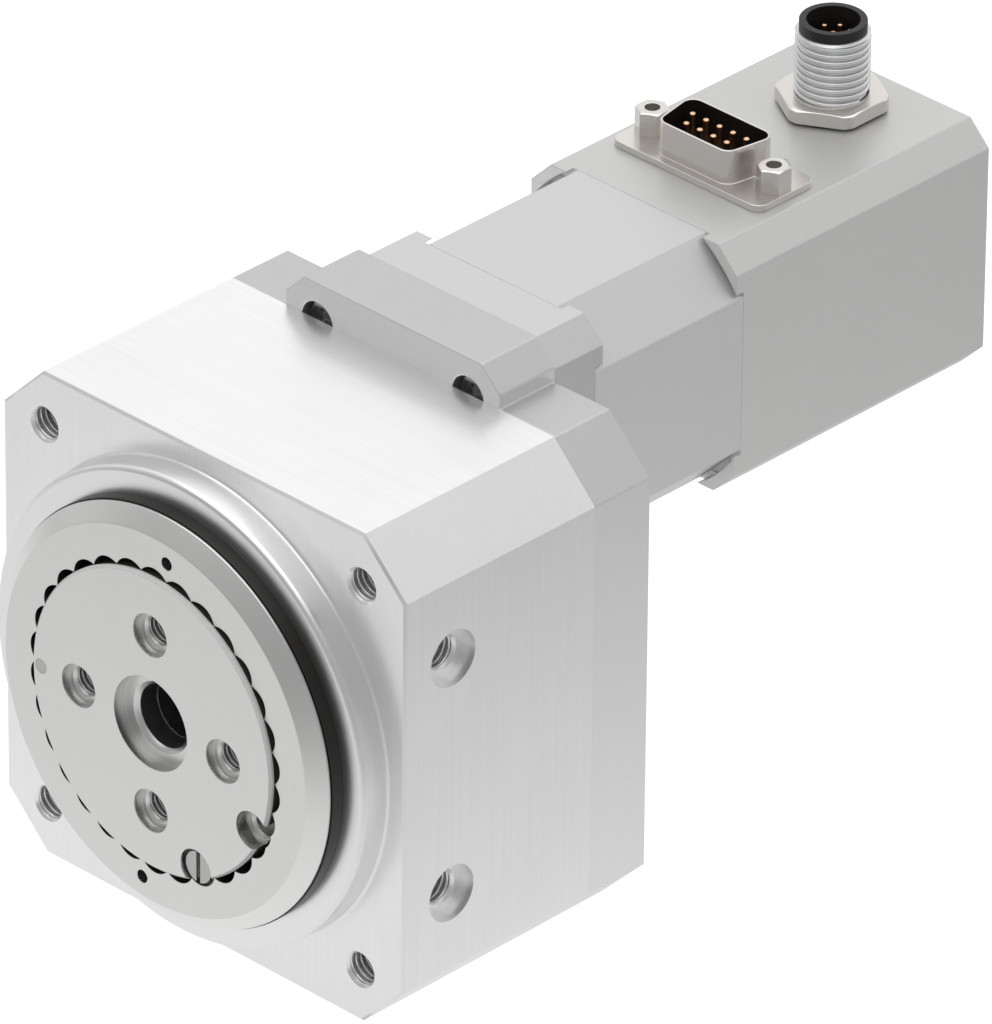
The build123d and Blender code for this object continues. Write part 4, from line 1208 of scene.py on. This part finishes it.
@dataclass
class Studio:
    """Pale floor, white surroundings and one soft lamp overhead."""

    floor_half_m: float = 3.0
    sky: float = 0.35
    sky_mirrored: Slope = Slope(0.53, (-0.28, 0.487, 0.0), 0.38, 1.05)
    floor_mirrored: Slope = Slope(1.03, (-0.9, 0.0, 0.0), 0.5, 1.0)
    floor_fall_per_m: float = 1.7
    floor_lift: float = 0.85
    floor_gap_mm: float = 0.02
    lamp_place_m: Point = (0.0, 0.0, 1.5)
    lamp_aim_m: Point = (0.0, 0.06, 0.0)
    lamp_size_m: float = 2.2
    lamp_power_w: float = 16.6

    def build(self) -> None:
        """Adds the floor, the world and the lamp."""
        scene = bpy.context.scene
        scene.view_settings.view_transform = "Standard"
        low, _ = cad_bounds
        mesh = bpy.data.meshes.new("floor")
        half = self.floor_half_m
        height = low[2] - self.floor_gap_mm * MM
        mesh.from_pydata(
            [(-half, -half, height), (half, -half, height), (half, half, height), (-half, half, height)],
            [],
            [(0, 1, 2, 3)],
        )
        floor = new_object("floor", mesh)
        floor.data.materials.append(self._floor_paint())
        self._world(scene)
        self._lamp("overhead_softbox")

    def _floor_paint(self) -> bpy.types.Material:
        """White paper that stays white to the camera and keeps the soft shadow.

        Returns:
            The floor's material.
        """
        paper_white = blank("white_studio_paper")
        tree = paper_white.node_tree
        matt = add(tree, "ShaderNodeBsdfDiffuse", {"Color": linear("B4B4B4")})
        rays = add(tree, "ShaderNodeLightPath").outputs
        lift = add(
            tree, "ShaderNodeMath", {0: rays["Is Camera Ray"], 1: self.floor_lift}, operation="MULTIPLY"
        )
        glow = add(tree, "ShaderNodeEmission", {"Color": (1, 1, 1, 1), "Strength": lift.outputs[0]})
        paper = add(tree, "ShaderNodeAddShader", {0: matt.outputs[0], 1: glow.outputs[0]})
        place = add(tree, "ShaderNodeTexCoord")
        reach = add(tree, "ShaderNodeVectorMath", {0: place.outputs["Object"]}, operation="LENGTH")
        fall = add(
            tree,
            "ShaderNodeMath",
            {0: reach.outputs["Value"], 1: -self.floor_fall_per_m},
            operation="MULTIPLY",
        )
        bright = self.floor_mirrored.strength(tree, place.outputs["Object"], fall.outputs[0])
        mirrored = add(tree, "ShaderNodeEmission", {"Color": (1, 1, 1, 1), "Strength": bright})
        by_ray = {0: rays["Is Glossy Ray"], 1: paper.outputs[0], 2: mirrored.outputs[0]}
        choice = add(tree, "ShaderNodeMixShader", by_ray)
        add(tree, "ShaderNodeOutputMaterial", {"Surface": choice.outputs[0]})
        return paper_white

    def _world(self, scene: bpy.types.Scene) -> None:
        """Lights the scene from all round: plain white to the camera, graded to what metal mirrors.

        Args:
            scene: The scene.
        """
        world = bpy.data.worlds.new("white_surroundings")
        world.use_nodes = True
        scene.world = world
        tree = world.node_tree
        tree.nodes.clear()
        rays = add(tree, "ShaderNodeLightPath").outputs
        place = add(tree, "ShaderNodeTexCoord")
        mirrored = self.sky_mirrored.strength(tree, place.outputs["Generated"])
        by_ray = {0: rays["Is Glossy Ray"], 2: self.sky, 3: mirrored}
        glossy = add(tree, "ShaderNodeMix", by_ray, data_type="FLOAT")
        straight = {0: rays["Is Camera Ray"], 1: rays["Is Transmission Ray"]}
        plain = add(tree, "ShaderNodeMath", straight, operation="MAXIMUM")
        by_view = {0: plain.outputs[0], 2: glossy.outputs[0], 3: 1.0}
        strength = add(tree, "ShaderNodeMix", by_view, data_type="FLOAT")
        sky = add(tree, "ShaderNodeBackground", {"Color": (1, 1, 1, 1), "Strength": strength.outputs[0]})
        add(tree, "ShaderNodeOutputWorld", {"Surface": sky.outputs[0]})

    def _lamp(self, name: str) -> None:
        """Adds the square softbox.

        Args:
            name: The lamp's name.
        """
        data = bpy.data.lights.new(name, "AREA")
        data.shape = "SQUARE"
        data.size = self.lamp_size_m
        data.energy = self.lamp_power_w
        lamp = new_object(name, data)
        towards = Vector(self.lamp_aim_m) - Vector(self.lamp_place_m)
        turn = towards.to_track_quat("-Z", "Y").to_matrix().to_4x4()
        lamp.matrix_world = Matrix.Translation(self.lamp_place_m) @ turn


def dress_inside() -> None:
    """Gives each CAD node that stays, all of them inside the unit, its own finish."""
    for finish, nodes in INNER_FINISHES.items():
        for node in nodes:
            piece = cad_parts[node]
            piece.data.materials.clear()
            piece.data.materials.append(finish.material())


def main() -> None:
    """Builds the view, the studio and the actuator."""
    logging.basicConfig(level=logging.INFO, format="%(message)s")
    for part in (View(), Studio(), Housing(), OutputFlange(), Motor(), SignalConnector(), PowerConnector()):
        log.info("building %s", type(part).__name__)
        part.build()
    dress_inside()


if __name__ == "__main__":
    main()
